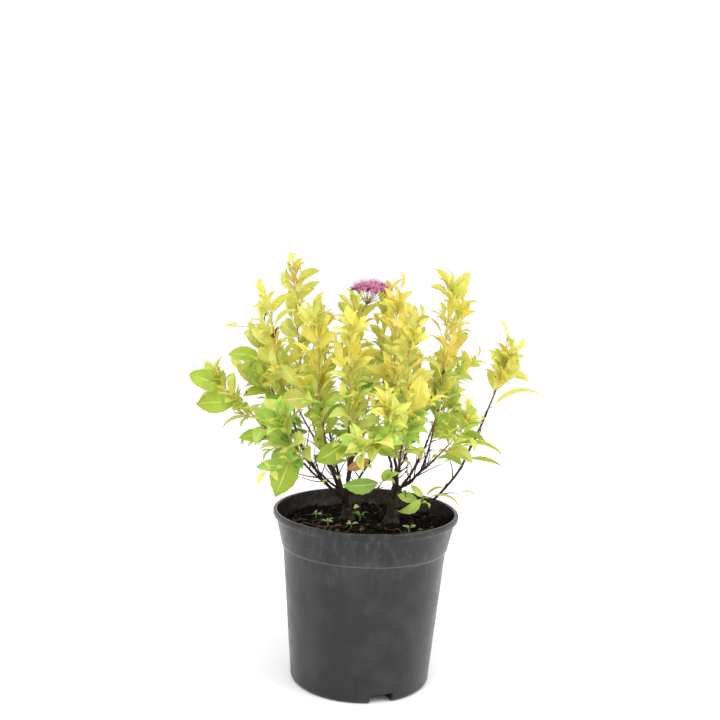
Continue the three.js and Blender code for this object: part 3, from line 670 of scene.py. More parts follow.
def soil_height(x, y):
    """The height of the solid's soil at a place."""
    radius = math.hypot(x, y)
    off_calm = smooth((radius - SOIL.calm) / SOIL.calm_edge)
    wave = math.sin(x / SOIL.wave + 1) * math.sin(y / (SOIL.wave * 0.8) + 2)
    mound = SOIL.mound
    from_mound = math.hypot(x - mound.x, y - mound.y) / mound.radius
    rise = mound.height * math.exp(-from_mound * from_mound)
    return SOIL.top + off_calm * (SOIL.ripple * wave - SOIL.edge_drop + rise)


def ground(x, y):
    """The rough surface of the soil."""
    lumps = 3.0 * rough(x, y, 0, 15) + 1.3 * rough(x, y, 40, 4)
    return soil_height(x, y) + lumps


def soil_radius():
    return mix(POT.collar_foot, POT.collar_top, SOIL.collar_share) - POT.wall - GAP


def lump(piece, random, place, size, slot):
    """A crumb or chip: a rough box of 8 corners with its faces split, turned any way."""
    turn, tip = 360 * random(), either_way(50, random)
    across = outward(turn)
    along = tilted(np.cross(UP, across), UP, tip)
    upward = np.cross(across, along)
    corners = []
    for i in range(-1, 2):
        for k in range(6):
            angle = math.radians(60 * k + either_way(20, random))
            width = (0.55 if i else 1) * (0.75 + 0.5 * random())
            offset = across * math.cos(angle) * size[0] + upward * math.sin(angle) * size[2]
            corners.append(place + offset * width + along * i * size[1] * (0.8 + 0.4 * random()))
    faces = grid_faces(3, 6, closed=True)
    faces += [[5, 4, 3, 2, 1, 0], [12, 13, 14, 15, 16, 17]]
    piece.add(corners, faces, slot)


CRUMBS = 3600
PEAT_SHARE = 0.72  # of the crumbs
FIBRE_SHARE = 0.3  # of the rest, which are chips of bark otherwise
# Dry stems that lie on the soil: bearing, how far out they start, length and radius.
DRY_STEMS = [
    (196, 34, 38, 0.7), (212, 30, 44, 0.6), (178, 40, 34, 0.6), (228, 26, 40, 0.55),
    (160, 38, 30, 0.6), (244, 30, 34, 0.5), (40, 44, 30, 0.6), (310, 36, 36, 0.55),
]
SEEDLINGS = [(-38, -22), (-14, -30), (-6, 4), (-52, 6), (44, -34)]


def soil_bed(edge):
    """The bed, rough on top, down to the pot's floor."""
    rings = 64
    bearings = [2.5 * i for i in range(144)]
    side = POT.wall + GAP
    profile = [
        *((edge * (i / rings) ** 0.9 if i else 0.05, None) for i in range(rings + 1)),
        (POT.collar_foot - side, POT.step),
        (POT.body_top - side, POT.step - 4),
        (POT.body_foot - side, POT.recess + POT.floor + 7),
        (POT.foot_radius - side, POT.recess + POT.floor + GAP),
        (0.05, POT.recess + POT.floor + GAP),
    ]

    def shape(x, y, height, _):
        return x, y, ground(x, y) if height is None else height

    bed = Piece("soil_bed")
    bed.add(turned(profile, bearings, shape), grid_faces(len(profile), len(bearings), closed=True))
    return bed


def soil_crumbs(edge, random):
    """Crumbs of peat, with some chips of bark and bits of wood fibre among them."""
    crumbs = Piece("soil_crumbs")
    for _ in range(CRUMBS):
        size = mix(0.9, 3.0, random() ** 4)
        kind = random()
        shape = (size, size * (1 + 2.2 * kind * kind), size * (0.9 - 0.5 * kind))
        radius = (edge - 0.6 - 1.3 * shape[1]) * math.sqrt(random())
        x, y = radius * outward(360 * random())[:2]
        slot = 0 if random() < PEAT_SHARE else 1 + (random() < FIBRE_SHARE)
        lump(crumbs, random, np.array([x, y, ground(x, y) + 0.35 * shape[2]]), shape, slot)
    return crumbs


def soil_litter(random):
    """Dry stems that lie on the soil, and seedlings."""
    litter = Piece("soil_litter")
    for bearing, out, length, thick in DRY_STEMS:
        start = outward(bearing) * out
        way = outward(bearing + either_way(24, random))
        path, steps = [], 8
        for i in range(steps + 1):
            swerve = np.cross(UP, way) * 2.2 * math.sin(0.8 * i)
            x, y = (start + way * length * i / steps + swerve)[:2]
            lift = 1.2 + 5 * math.sin(math.pi * i / steps) * random()
            path.append(np.array([x, y, ground(x, y) + lift]))
        path = rounded(path, 3)
        litter.add(*tube(path, [thick * (1 - 0.012 * i) for i in range(len(path))], 6), 0)
    for x, y in SEEDLINGS:
        foot = np.array([x, y, ground(x, y)])
        rise = [either_way(1.5, random), either_way(1.5, random), 5 + 3 * random()]
        top = foot + np.array(rise)
        litter.add(*tube([foot - UP, top], [0.35, 0.3], 5), 1)
        for k in range(4):
            direction = tilted(outward(90 * k + 50 * random()), UP, 24)
            leaf = make_leaf(top, direction, 6.5 + 4 * random(), 0)
            litter.add(blade(leaf, random), BLADE_FACES, 1)
    return litter


def make_soil():
    random = random_stream(71)
    edge = soil_radius()
    bed = soil_bed(edge)
    crumbs = soil_crumbs(edge, random)
    litter = soil_litter(random)
    dry = bark_material("dry_stem", linear(66, 40, 34), linear(120, 84, 66))
    seedling = mottled("seedling", linear(138, 168, 96), 3, 0.15)
    litter.build([dry, seedling], "soil", ["soil"])
    peat = soil_material("peat", linear(5, 4, 3), linear(21, 18, 12))
    chip = soil_material("bark_chip", linear(14, 11, 8), linear(42, 33, 22))
    fibre = soil_material("wood_fibre", linear(52, 46, 32), linear(98, 90, 64))
    bed.build([peat], "soil", ["soil"])
    crumbs.build([peat, chip, fibre], "soil", ["soil"], smooth_shading=False)


# ---- stumps and canes


def stump_centre(stump, share):
    return np.array([
        stump.x + stump.lean_x * share * share,
        stump.y + stump.lean_y * share * share,
        SOIL.top + GAP + stump.height * share,
    ])


def bezier(points, share):
    first, second, third, fourth = points
    rest = 1 - share
    near = rest * rest * rest * first + 3 * rest * rest * share * second
    return near + 3 * rest * share * share * third + share * share * share * fourth


def cane_curve(cane, start):
    tip = outward(cane.bearing) * cane.reach + UP * cane.top
    course = unit(np.array([tip[0] - start[0], tip[1] - start[1], 0.0]))
    leaving = tilted(UP, course, 90 - cane.climb)
    upright = tilted(UP, outward(cane.bearing), cane.lean)
    return start, start + leaving * cane.push, tip - upright * cane.rise, tip


def bare_share(curve, height):
    share = 0.0
    while share < 1 and bezier(curve, share)[2] < height:
        share += 0.005
    return share


def path_along(curve, start, end, steps):
    return np.array([bezier(curve, share) for share in spread_along(start, end, steps)])


def trace_canes():
    traced = {}
    for index, cane in enumerate(CANES):
        if cane.parent in STUMPS:
            start = stump_centre(STUMPS[cane.parent], cane.at)
        else:
            parent = traced[cane.parent]
            start = bezier(parent.curve, cane.at * parent.entry)
        curve = cane_curve(cane, start)
        entry = bare_share(curve, cane.bare)
        nudge = 0.001
        speed = math.dist(bezier(curve, entry), bezier(curve, entry + nudge)) / nudge
        traced[cane.name] = SimpleNamespace(
            cane=cane, name=cane.name, index=index, curve=curve, entry=entry,
            bough=path_along(curve, 0, entry, LIMB.steps),
            axis=path_along(curve, entry + (GAP + 0.05) / speed, 1, GROWTH.axis_steps),
            leaves=[], twigs=[],
        )
    return traced


# ---- growth of a mass


class Room:
    """What a leaf or twig keeps clear of."""

    def __init__(self, canes):
        self.boughs = np.array([cane.bough for cane in canes.values()])
        self.axes = np.array([cane.axis for cane in canes.values()])
        self.head = corymb_centre(canes[FLOWERING])

    def allows(self, points, mass):
        """True where every point keeps to the mass's own space, off the limbs and over the pot."""
        points = np.asarray(points)
        if points[:, 2].min() < SPACE.ground:
            return False
        if distances(points, self.boughs).min() <= SPACE.limb:
            return False
        from_head = (points - self.head) * (1, 1, CORYMB.radius / CORYMB.height)
        if np.sqrt((from_head ** 2).sum(-1)).min() < CORYMB.radius + SPACE.flower:
            return False
        lengths = distances(points, self.axes)
        others = np.delete(lengths, mass.index, axis=1)
        return bool((others - lengths[:, [mass.index]] > 2 * SPACE.border).all())


def corymb_centre(mass):
    top = mass.axis[-1]
    return np.array([top[0] + CORYMB.lean, top[1], top[2] + CORYMB.rise])


def leaf_shape(length):
    """The width of a leaf as a share of its length: a long, old leaf is the broader."""
    youngest = GROWTH.tip_leaf * GROWTH.tuft_shortest
    age = clamped((length - youngest) / (GROWTH.low_leaf - youngest))
    return mix(GROWTH.tip_shape, GROWTH.low_shape, age)


def leaf_length(share, height):
    """Leaves are longest at the foot of a mass, but short again where the crown begins."""
    up = (height - GROWTH.foot_from) / (GROWTH.foot_to - GROWTH.foot_from)
    return mix(GROWTH.foot_leaf, 1, clamped(up)) * mix(GROWTH.low_leaf, GROWTH.tip_leaf, share)


def make_leaf(root, direction, length, roll, shape=None):
    """A leaf whose upper face looks up and away from the pot's axis, turned by its roll."""
    away = unit(np.array([root[0], root[1], 0.0]))
    facing = away * 0.6 + UP * 0.8
    level = unit(facing - direction * (facing @ direction))
    normal = tilted(level, np.cross(direction, level), roll)
    side = np.cross(direction, normal)
    return SimpleNamespace(root=root, direction=direction, normal=normal, side=side,
                           length=length, shape=shape or leaf_shape(length))


def leaf_point(leaf, along, across, above):
    offset = leaf.direction * along + leaf.side * across + leaf.normal * above
    return leaf.root + offset * leaf.length


def leaf_samples(leaf):
    """Points over the solid blade where it is tested for room."""
    half = leaf.shape / 2 * LEAF.fuller
    edge = LEAF.keel - LEAF.droop * LEAF.widest
    root = leaf_point(leaf, -LEAF.sunk / leaf.length, 0, 0)
    tip = leaf_point(leaf, 1, 0, -LEAF.droop)
    left = leaf_point(leaf, LEAF.widest, half, edge)
    right = leaf_point(leaf, LEAF.widest, -half, edge)
    keel = [mix(root, tip, share) for share in (0.2, 0.45, 0.7)]
    return [*keel, mix(left, tip, 0.45), mix(right, tip, 0.45), left, right, tip]


SPRAY_LEAVES = 4  # leaves of a stem that follow each other and share a tint
# The numbers that mark which spray a leaf belongs to, past those of a stem.
SIDE_SPRAY, TUFT_SPRAY, LONE_SPRAY, SNAG_SPRAY = 100, 200, 300, 400


def try_leaf(mass, room, path, share, angle, turn, length, roll, spray):
    """Places a leaf, turned up and shortened until it has room, or leaves it out."""
    twig, root = direction_on_path(path, share), point_on_path(path, share)
    for attempt in range(GROWTH.tries):
        lifted = max(angle - attempt * GROWTH.steeper, GROWTH.least_angle)
        swing = GROWTH.swing * attempt * (1 if attempt % 2 else -1)
        direction = tilted(twig, around(twig, turn + swing), lifted)
        leaf = make_leaf(root, direction, length * GROWTH.shorter ** attempt, roll)
        if room.allows(leaf_samples(leaf), mass):
            leaf.twig, leaf.spray = twig, spray
            mass.leaves.append(leaf)
            return


def hang_leaf(mass, root, bearing, climb, length, roll, shape=None):
    """Places a leaf that has its own direction and tint and no shoot in its axil."""
    direction = tilted(outward(bearing), UP, climb)
    leaf = make_leaf(root, direction, length, roll, shape)
    leaf.spray = LONE_SPRAY
    mass.leaves.append(leaf)


def make_twig(path, start, end):
    """A twig's path and its radius at each end."""
    return SimpleNamespace(path=path, start=start, end=end)


def grow_side(mass, room, root, direction, length, random, turn, spray):
    shares = spread_along(0, 1, SIDE.steps)
    path = [root + direction * length * t + UP * SIDE.rise * length * t * t for t in shares]
    if not room.allows(path[1:], mass):
        return
    mass.twigs.append(make_twig(path, TWIG.side, TWIG.tip))
    nodes = math.floor(length / SIDE.internode + 0.5)
    for k in range(1, nodes + 1):
        share = k / nodes
        height = point_on_path(path, share)[2]
        full = mix(SIDE.low_angle, SIDE.tip_angle, share)
        turn += GROWTH.turn + either_way(SIDE.turn_drift, random)
        try_leaf(
            mass, room, path, share,
            angle=full + either_way(SIDE.angle_drift, random),
            turn=turn,
            length=leaf_length(share, height) * varied(SIDE.shortest, random),
            roll=rolled(GROWTH.roll, random),
            spray=spray,
        )


def grow_mass(mass, room):
    """Leaves and twigs of a mass, drawn in the same order as in the part's source."""
    random = random_stream(1000 + 37 * mass.index)
    stem = mass.axis
    mass.twigs.append(make_twig(stem, TWIG.start, TWIG.tip))
    nodes = math.floor(path_length(stem) / GROWTH.internode + 0.5)
    turn = 360 * random()
    for k in range(nodes):
        share = (k + 0.5) / nodes
        if share < mass.cane.open:
            continue
        height = point_on_path(stem, share)[2]
        full = mix(GROWTH.low_angle, GROWTH.tip_angle, share) * mass.cane.fold
        turn += GROWTH.turn + either_way(GROWTH.turn_drift, random)
        try_leaf(
            mass, room, stem, share,
            angle=full + either_way(GROWTH.angle_drift, random),
            turn=turn,
            length=leaf_length(share, height) * varied(GROWTH.stem_shortest, random),
            roll=rolled(GROWTH.roll, random),
            spray=k // SPRAY_LEAVES,
        )
    for s in range(mass.cane.sides):
        share = SIDE.from_share + (SIDE.over * s) / mass.cane.sides
        twig = direction_on_path(stem, share)
        side_turn = turn + SIDE.turn * s
        direction = tilted(twig, around(twig, side_turn), SIDE.angle)
        length = SIDE.length * (1 - SIDE.taper * share) * (SIDE.shortest + SIDE.longer * random())
        root = point_on_path(stem, share)
        grow_side(mass, room, root, direction, length, random, side_turn, SIDE_SPRAY + s)
    for t in range(GROWTH.tuft):
        try_leaf(
            mass, room, stem, 1,
            angle=GROWTH.tuft_angle + GROWTH.tuft_drift * random(),
            turn=turn + (360 * t) / GROWTH.tuft,
            length=GROWTH.tip_leaf * varied(GROWTH.tuft_shortest, random),
            roll=rolled(GROWTH.roll, random),
            spray=TUFT_SPRAY,
        )
    for at, *rest in LONE_LEAVES.get(mass.name, ()):
        hang_leaf(mass, point_on_path(stem, at), *rest)


# The finer growth that the solids leave out: short shoots in the axils, with small leaves.
FINE = SimpleNamespace(
    chance=0.85, length=(8, 26), leaves=(3, 5), leaf=(11, 24), lift=38, spread=(74, 30), roll=40,
    rise=0.15, bare=0.35, angle_drift=20, thick=(0.4, 0.25),
)


def grow_axils(mass, room):
    """Short shoots between the leaves of a mass, each within the space of that mass."""
    random = random_stream(9000 + 53 * mass.index)
    for leaf in list(mass.leaves):
        if random() > FINE.chance or leaf.spray == LONE_SPRAY:
            continue
        lift = FINE.lift * (0.6 + 0.8 * random())
        direction = tilted(leaf.direction, unit(leaf.twig + 0.3 * UP), lift)
        length = mix(*FINE.length, random())
        path = [leaf.root + direction * length * share for share in (0, 0.5, 1)]
        path[2] = path[2] + UP * FINE.rise * length
        if not room.allows(path[1:], mass):
            continue
        count = round(mix(*FINE.leaves, random()))
        turn = 360 * random()
        before = len(mass.leaves)
        for k in range(count + 1):
            share = FINE.bare + (1 - FINE.bare) * k / count
            turn += GROWTH.turn
            try_leaf(
                mass, room, path, share,
                angle=mix(*FINE.spread, share) + either_way(FINE.angle_drift, random),
                turn=turn,
                length=mix(*FINE.leaf, random()),
                roll=rolled(FINE.roll, random),
                spray=leaf.spray,
            )
        if len(mass.leaves) > before:
            mass.twigs.append(make_twig(path, *FINE.thick))


# Thin side twigs on the open stretch of a bough, some with a leaf left at the tip.
SNAG = SimpleNamespace(
    shares=(0.42, 0.56, 0.7, 0.84), drift=0.12, lowest=186, angle=(30, 62), length=(12, 34),
    rise=0.3, bend=0.09, bent_at=0.55, thick=(0.66, 0.32), leafy=0.45, leaf=(12, 22),
)


def grow_snags(mass):
    random = random_stream(700 + 31 * mass.index)
    bough = path_along(mass.curve, 0, mass.entry, 30)
    mass.snags = []
    for share in SNAG.shares:
        share += either_way(SNAG.drift, random)
        foot = point_on_path(bough, share)
        along = direction_on_path(bough, share)
        turn = 360 * random()
        direction = tilted(along, around(along, turn), mix(*SNAG.angle, random()))
        direction = unit(direction + UP * SNAG.rise)
        length = mix(*SNAG.length, random())
        bend = around(along, turn + 90) * length * SNAG.bend
        leafy = random() < SNAG.leafy
        leaf_size = mix(*SNAG.leaf, random())
        roll = rolled(FINE.roll, random)
        if foot[2] < SNAG.lowest:
            continue
        tip = foot + direction * length
        mass.snags.append([foot, foot + direction * length * SNAG.bent_at + bend, tip])
        if leafy:
            leaf = make_leaf(tip, unit(direction + outward(turn)), leaf_size, roll)
            leaf.spray = SNAG_SPRAY
            mass.leaves.append(leaf)


# ---- leaves

# A blade is a grid of stations along it and of columns at these shares of its half width. The
# faces between the middle two columns are its midrib.
STATIONS = 13
ACROSS = np.array([-1.0, -0.52, -0.05, 0.05, 0.52, 1.0])
BLADE_FACES = grid_faces(STATIONS, len(ACROSS))
MIDRIB = [int(i % (len(ACROSS) - 1) == 2) for i in range(len(BLADE_FACES))]
PETIOLE = 0.09  # share of a leaf's length
# Bend and fold are those of the smallest and the largest leaf. Teeth, veins and the waves of
# the edge are shares of half the width.
BLADE = SimpleNamespace(
    bend=(40, 78), fold=(38, 16), edge_fold=0.82, twist=34, wave=0.05, tooth=0.07, vein=0.035,
    forward=0.045, least=0.03,
)
STALK = SimpleNamespace(thick=0.32, longer=0.3, taper=0.7)


def leaf_outline(share):
    """Half a blade's width, as a share of its widest: full low down and drawn out to a tip."""
    foot = 0.85
    point = foot * (1 - LEAF.widest) / LEAF.widest
    top = LEAF.widest ** foot * (1 - LEAF.widest) ** point
    return share ** foot * (1 - share) ** point / top


def blade(leaf, random):
    """Points of a blade, station by station: folded along its midrib, arched and toothed."""
    t = np.linspace(0, 1, STATIONS)
    age = min(leaf.length / GROWTH.low_leaf, 1.0)
    bend = math.radians(mix(*BLADE.bend, age) * (0.5 + 0.9 * random()))
    fold = math.radians(mix(*BLADE.fold, age) * (0.6 + 0.8 * random()))
    twist = either_way(math.radians(BLADE.twist), random)
    wave = BLADE.wave * random()
    phase = 6.3 * random()
    half = leaf.length * leaf.shape / 2 * (0.92 + 0.2 * random())

    turn = -bend * (t ** 1.3)
    middle = (turn[1:] + turn[:-1]) / 2
    along = np.concatenate([[0], np.cumsum(np.cos(middle))])
    above = np.concatenate([[0], np.cumsum(np.sin(middle))])
    chord = np.array([1 - PETIOLE, -LEAF.droop])
    scale = math.hypot(*chord) / math.hypot(along[-1], above[-1])
    swing = math.atan2(chord[1], chord[0]) - math.atan2(above[-1], along[-1])
    x = scale * (along * math.cos(swing) - above * math.sin(swing)) + PETIOLE
    z = scale * (along * math.sin(swing) + above * math.cos(swing))
    pitch = turn + swing

    width = half * np.maximum(leaf_outline(np.clip(t, 1e-4, 1 - 1e-4)), BLADE.least)
    tooth = np.where(np.arange(STATIONS) % 2, 1.0, 0.0)
    veins = BLADE.vein * half * (tooth - 0.5)
    tangent = leaf.direction * np.cos(pitch)[:, None] + leaf.normal * np.sin(pitch)[:, None]
    normal = leaf.normal * np.cos(pitch)[:, None] - leaf.direction * np.sin(pitch)[:, None]
    centre = leaf.root + (leaf.direction * x[:, None] + leaf.normal * z[:, None]) * leaf.length
    points = np.empty((STATIONS, len(ACROSS), 3))
    for column, across in enumerate(ACROSS):
        edge = abs(across)
        reach = width * across * (1 + (BLADE.tooth * tooth if edge == 1 else 0))
        forward = leaf.length * BLADE.forward * edge * np.sin(math.pi * t)
        tilt = fold * (1 if edge < 1 else BLADE.edge_fold)
        lift = np.abs(reach) * math.sin(tilt) + (veins if edge < 1 else 0)
        lift = lift + half * wave * edge * edge * np.sin(9 * t + phase + 2 * across)
        spread = reach * math.cos(tilt)
        angle = twist * t
        sideways = spread * np.cos(angle) - lift * np.sin(angle)
        upwards = spread * np.sin(angle) + lift * np.cos(angle)
        points[:, column] = (
            centre + tangent * forward[:, None] + leaf.side * sideways[:, None]
            + normal * upwards[:, None]
        )
    return points.reshape(-1, 3)


# Plain colours that are dealt out by spray, from the sunlit tips down to the shaded foot. The
# last three are for single leaves.
TINTS = {
    "gold": linear(233, 222, 102),
    "honey": linear(228, 208, 100),
    "bronze": linear(222, 188, 98),
    "straw": linear(222, 222, 112),
    "olive": linear(206, 212, 104),
    "lime": linear(190, 216, 100),
    "green": linear(154, 190, 82),
    "moss": linear(112, 150, 64),
    "brown": linear(176, 122, 62),
    "fresh": linear(166, 190, 62),
    "dry": linear(112, 68, 38),
}
# Masses that stand out in the sun are coloured as if they were this much higher.
TINT_LIFT = {"far_right": 80, "right_top": 25, "left_top": 10, "left_inner": 12}
SPOT = linear(84, 52, 30)
RIB = linear(240, 240, 170)
RIB_SHARE = 0.26  # how far a midrib's colour is from its blade's towards that
# A leaf of this length hangs lowest over the front of the pot and has turned brown.
BROWN_LENGTH = 27
# Leaves that stand clear are straw above this height, and fresh green below it but for those
# of the masses named here.
SUNLIT = 345
LONE_TINTS = {"rim_right": "lime", "rim_front": "green", "left_front": "straw"}
# Some small leaves on these shoots, between the heights, have dried up.
DRY = {
    "right_top": (290, 385), "right_inner": (320, 370),
    "left_high": (330, 372), "left_top": (330, 372),
}
DRY_SHARE, DRY_LENGTH = 0.1, 17
NEW_TINT = 0.3  # how often a leaf changes its spray's tint
# Shares of the tints at a height, from which a spray draws its own.
TINTS_AT = [
    (430, {"gold": 5, "honey": 1, "bronze": 0.15, "straw": 5, "olive": 0.8}),
    (360, {"gold": 4, "honey": 1.2, "bronze": 0.25, "straw": 5, "olive": 1.6}),
    (320, {"gold": 3, "honey": 0.8, "straw": 4, "olive": 3, "lime": 1.4}),
    (285, {"gold": 0.8, "straw": 2.5, "olive": 4, "lime": 4, "green": 0.8, "moss": 0.2}),
    (250, {"straw": 1, "olive": 3, "lime": 5, "green": 2.4, "moss": 1}),
    (190, {"straw": 0.8, "olive": 2, "lime": 5, "green": 1.6, "moss": 0.5}),
]


def shares_at(height):
    """The mix of tints at a height."""
    for (high, above), (low, below) in zip(TINTS_AT, TINTS_AT[1:]):
        if height >= low:
            share = clamped((high - height) / (high - low))
            return {name: mix(above.get(name, 0), below.get(name, 0), share) for name in TINTS}
    return {name: TINTS_AT[-1][1].get(name, 0) for name in TINTS}


def drawn_tint(height, random):
    shares = shares_at(height)
    mark = random() * sum(shares.values())
    for name, share in shares.items():
        mark -= share
        if mark < 0:
            return name
    return "straw"


def lone_tint(mass, height, length):
    """The tint of a leaf that stands clear: straw in the sun, and the mass's own below that."""
    if length == BROWN_LENGTH:
        return "brown"
    return "straw" if height > SUNLIT else LONE_TINTS.get(mass.name, "fresh")


def is_dry(mass, leaf, random):
    low, high = DRY.get(mass.name, (0, 0))
    small = leaf.length < DRY_LENGTH and leaf.spray != LONE_SPRAY
    return random() < DRY_SHARE and small and low < leaf.root[2] < high


def leaf_material(name, colour):
    """A thin leaf: part of the light comes through it. Now and then it has a brown spot."""
    nodes = Nodes("leaf_" + name)
    drift = nodes.noise(14, detail=4)
    stops = [(0.3, scaled(colour, 0.82)), (0.55, colour), (0.75, scaled(colour, 1.1))]
    mottle = nodes.range(nodes.noise(3.4, detail=5), 0.5, 0.72, 0.0, 0.4)
    spots = nodes.range(nodes.noise(7, detail=2), 0.73, 0.755)
    blade_colour = nodes.blend(mottle, nodes.ramp(drift, stops), scaled(colour, 0.74))
    blade_colour = nodes.blend(spots, blade_colour, SPOT)
    nodes.colour(blade_colour)
    nodes.bump(nodes.noise(1.6, detail=4), 0.12, 0.5)
    nodes.let_through(0.4, blade_colour)
    return nodes.finish(0.5, 0.4)


def grow_outlier(mass):
    """A thin twig that stands well clear at the left, with a few small leaves."""
    steps = ((0, 0, 0), (-12, 0, 13), (-15, 0, 24), (-26, 0, 25))
    path = [mass.axis[-1] + np.array(step) for step in steps]
    mass.twigs.append(make_twig(path, 0.45, 0.3))
    for share, bearing, climb, length in ((1, 178, 2, 15), (1, 190, 40, 8), (0.6, 10, 40, 10)):
        hang_leaf(mass, point_on_path(path, share), bearing, climb, length, -50)


# Narrow leaves on the open stretch of a bough: cane, height, bearing, climb, length and shape.
BOUGH_LEAVES = [
    ("far_right", 237, -3, -5, 38, 0.2),
    ("far_right", 254, 176, 6, 24, 0.26),
]


def grow_bough_leaves(canes):
    for name, height, bearing, climb, length, shape in BOUGH_LEAVES:
        curve = canes[name].curve
        root = bezier(curve, bare_share(curve, height))
        hang_leaf(canes[name], root, bearing, climb, length, -50, shape)


def make_foliage(canes):
    room = Room(canes)
    for mass in canes.values():
        grow_mass(mass, room)
        grow_axils(mass, room)
        grow_snags(mass)
    grow_outlier(canes["left_outer"])
    grow_bough_leaves(canes)
    leaves = {name: Piece("leaves_" + name) for name in TINTS}
    stalks = Piece("leaf_stalks")
    for mass in canes.values():
        random = random_stream(300 + 29 * mass.index)
        dry_random = random_stream(7000 + mass.index)
        sprays = {}
        for leaf in mass.leaves:
            height = leaf.root[2] + TINT_LIFT.get(mass.name, 0) + either_way(30, random)
            if leaf.spray not in sprays or random() < NEW_TINT:
                sprays[leaf.spray] = drawn_tint(height, random)
            tint = sprays[leaf.spray]
            if leaf.spray == LONE_SPRAY:
                tint = lone_tint(mass, height, leaf.length)
            if is_dry(mass, leaf, dry_random):
                tint = "dry"
            leaves[tint].add(blade(leaf, random), BLADE_FACES, MIDRIB)
            foot = leaf_point(leaf, PETIOLE * 1.1, 0, 0)
            thick = STALK.thick + STALK.longer * leaf.length / GROWTH.low_leaf
            stalks.add(*tube([leaf.root, foot], [thick, thick * STALK.taper], 4))
    for name, piece in leaves.items():
        paler = mix(np.array(TINTS[name]), np.array(RIB), RIB_SHARE)
        rib = mottled("rib_" + name, paler, 9, 0.1)
        piece.build([leaf_material(name, TINTS[name]), rib], "leaf", FOLIAGE)
    young = mottled("young_stalk", linear(178, 176, 84), 6, 0.2, roughness=0.55, depth=0.1)
    stalks.build([young], "leaf", FOLIAGE)


# ---- stems


def make_twigs(canes):
    """Twigs within the foliage: red-brown wood low down, green-gold towards the tips."""
    wood, shoot = Piece("twigs_wood"), Piece("twigs_young")
    for mass in canes.values():
        for twig in mass.twigs:
            path = rounded(twig.path, 5)
            radii = spread_along(twig.start, twig.end, len(path) - 1)
            cut = (len(path) - 1) // 2 if twig.start == TWIG.start else 0
            if cut:
                wood.add(*tube(path[:cut + 1], radii[:cut + 1], 8))
            shoot.add(*tube(path[cut:], radii[cut:], 6))
    red = bark_material("twig_bark", linear(82, 48, 42), linear(132, 90, 66))
    green = mottled("twig_shoot", linear(188, 156, 92), 8, 0.22, depth=0.1)
    wood.build([red], "bark", FOLIAGE)
    shoot.build([green], "bark", FOLIAGE)


# A cane is made in this many steps, with a bud every NODE_STEPS and a bend there by KINK.
BOUGH_STEPS, NODE_STEPS, KINK = 56, 9, 0.9


def kinked(path, seed):
    """The path with a slight bend at each node, to the side of the bud there, and still ends."""
    bent = path.copy()
    for i in range(1, len(path) - 1):
        node, past = divmod(i + seed, NODE_STEPS)
        along = unit(path[i + 1] - path[i - 1])
        ways = [outward(GROWTH.turn * (node + k) + 40 * seed) for k in (0, 1)]
        jog = mix(*ways, past / NODE_STEPS)
        still = min(i, len(path) - 1 - i, NODE_STEPS) / NODE_STEPS
        bent[i] += (jog - along * (jog @ along)) * KINK * still
    return bent


def make_boughs(canes):
    """Canes with buds, scars and fine ridges in their bark."""
    boughs = Piece("bough_bark")
    sides = 12
    for mass in canes.values():
        path = kinked(path_along(mass.curve, 0, mass.entry, BOUGH_STEPS), mass.index)
        start = mass.cane.thick / 2 * LIMB.foot_share
        radii = spread_along(start, TWIG.start + 0.05, BOUGH_STEPS)

        def relief(step, side, seed=13 * mass.index, path=path):
            x, y, z = path[step]
            x, y = x + 5 * math.cos(side * 0.52), y + 5 * math.sin(side * 0.52)
            ridges = 0.10 * rough(x, y, z / 3 + seed, 2.4, 3)
            node, past = divmod(step + seed, NODE_STEPS)
            facing = math.cos(math.radians(360 / sides * side - GROWTH.turn * node))
            swelling = 0.2 if past == 0 else 0.0
            knob = 0.75 * max(facing, 0) ** 3 if past == 1 else 0.0
            return 1 + ridges + swelling + knob

        boughs.add(*tube(list(path), radii, sides, relief))
        for snag in mass.snags:
            thin = rounded(snag, 5)
            boughs.add(*tube(thin, spread_along(*SNAG.thick, len(thin) - 1), 6))
    bark = bark_material("cane_bark", linear(34, 21, 22), linear(74, 50, 44))
    boughs.build([bark], "bark", BOUGHS)


def make_stumps():
    """Old wood, gnarled and mossy, its dark colour partly painted shade."""
    piece = Piece("stump_bark")
    steps, sides = 46, 40
    for number, stump in enumerate(STUMPS.values()):
        path, radii = [], []
        for share in spread_along(0, 1, steps):
            flare = math.exp(-share * stump.height / STUMP_FLARE.height)
            path.append(stump_centre(stump, share))
            radii.append(mix(stump.foot, stump.top, share) * (1 + STUMP_FLARE.share * flare))

        def relief(step, side, number=number):
            x, y = 6 * outward(360 * side / sides)[:2]
            knots = 0.2 * rough(x, y, step * 0.5 + 90 * number, 5)
            return 1 + knots + 0.08 * rough(x, y, step, 1.6)

        piece.add(*tube(path, radii, sides, relief))
    # The old wood's dark colours are partly painted shade, for the shade the stump stands in.
    dark, light, moss = linear(24, 17, 12), linear(66, 48, 32), linear(52, 56, 24)
    old = bark_material("stump_wood_and_painted_shade", dark, light, moss)
    piece.build([old], "bark", ["stump_right", "stump_left"])


# ---- flower head


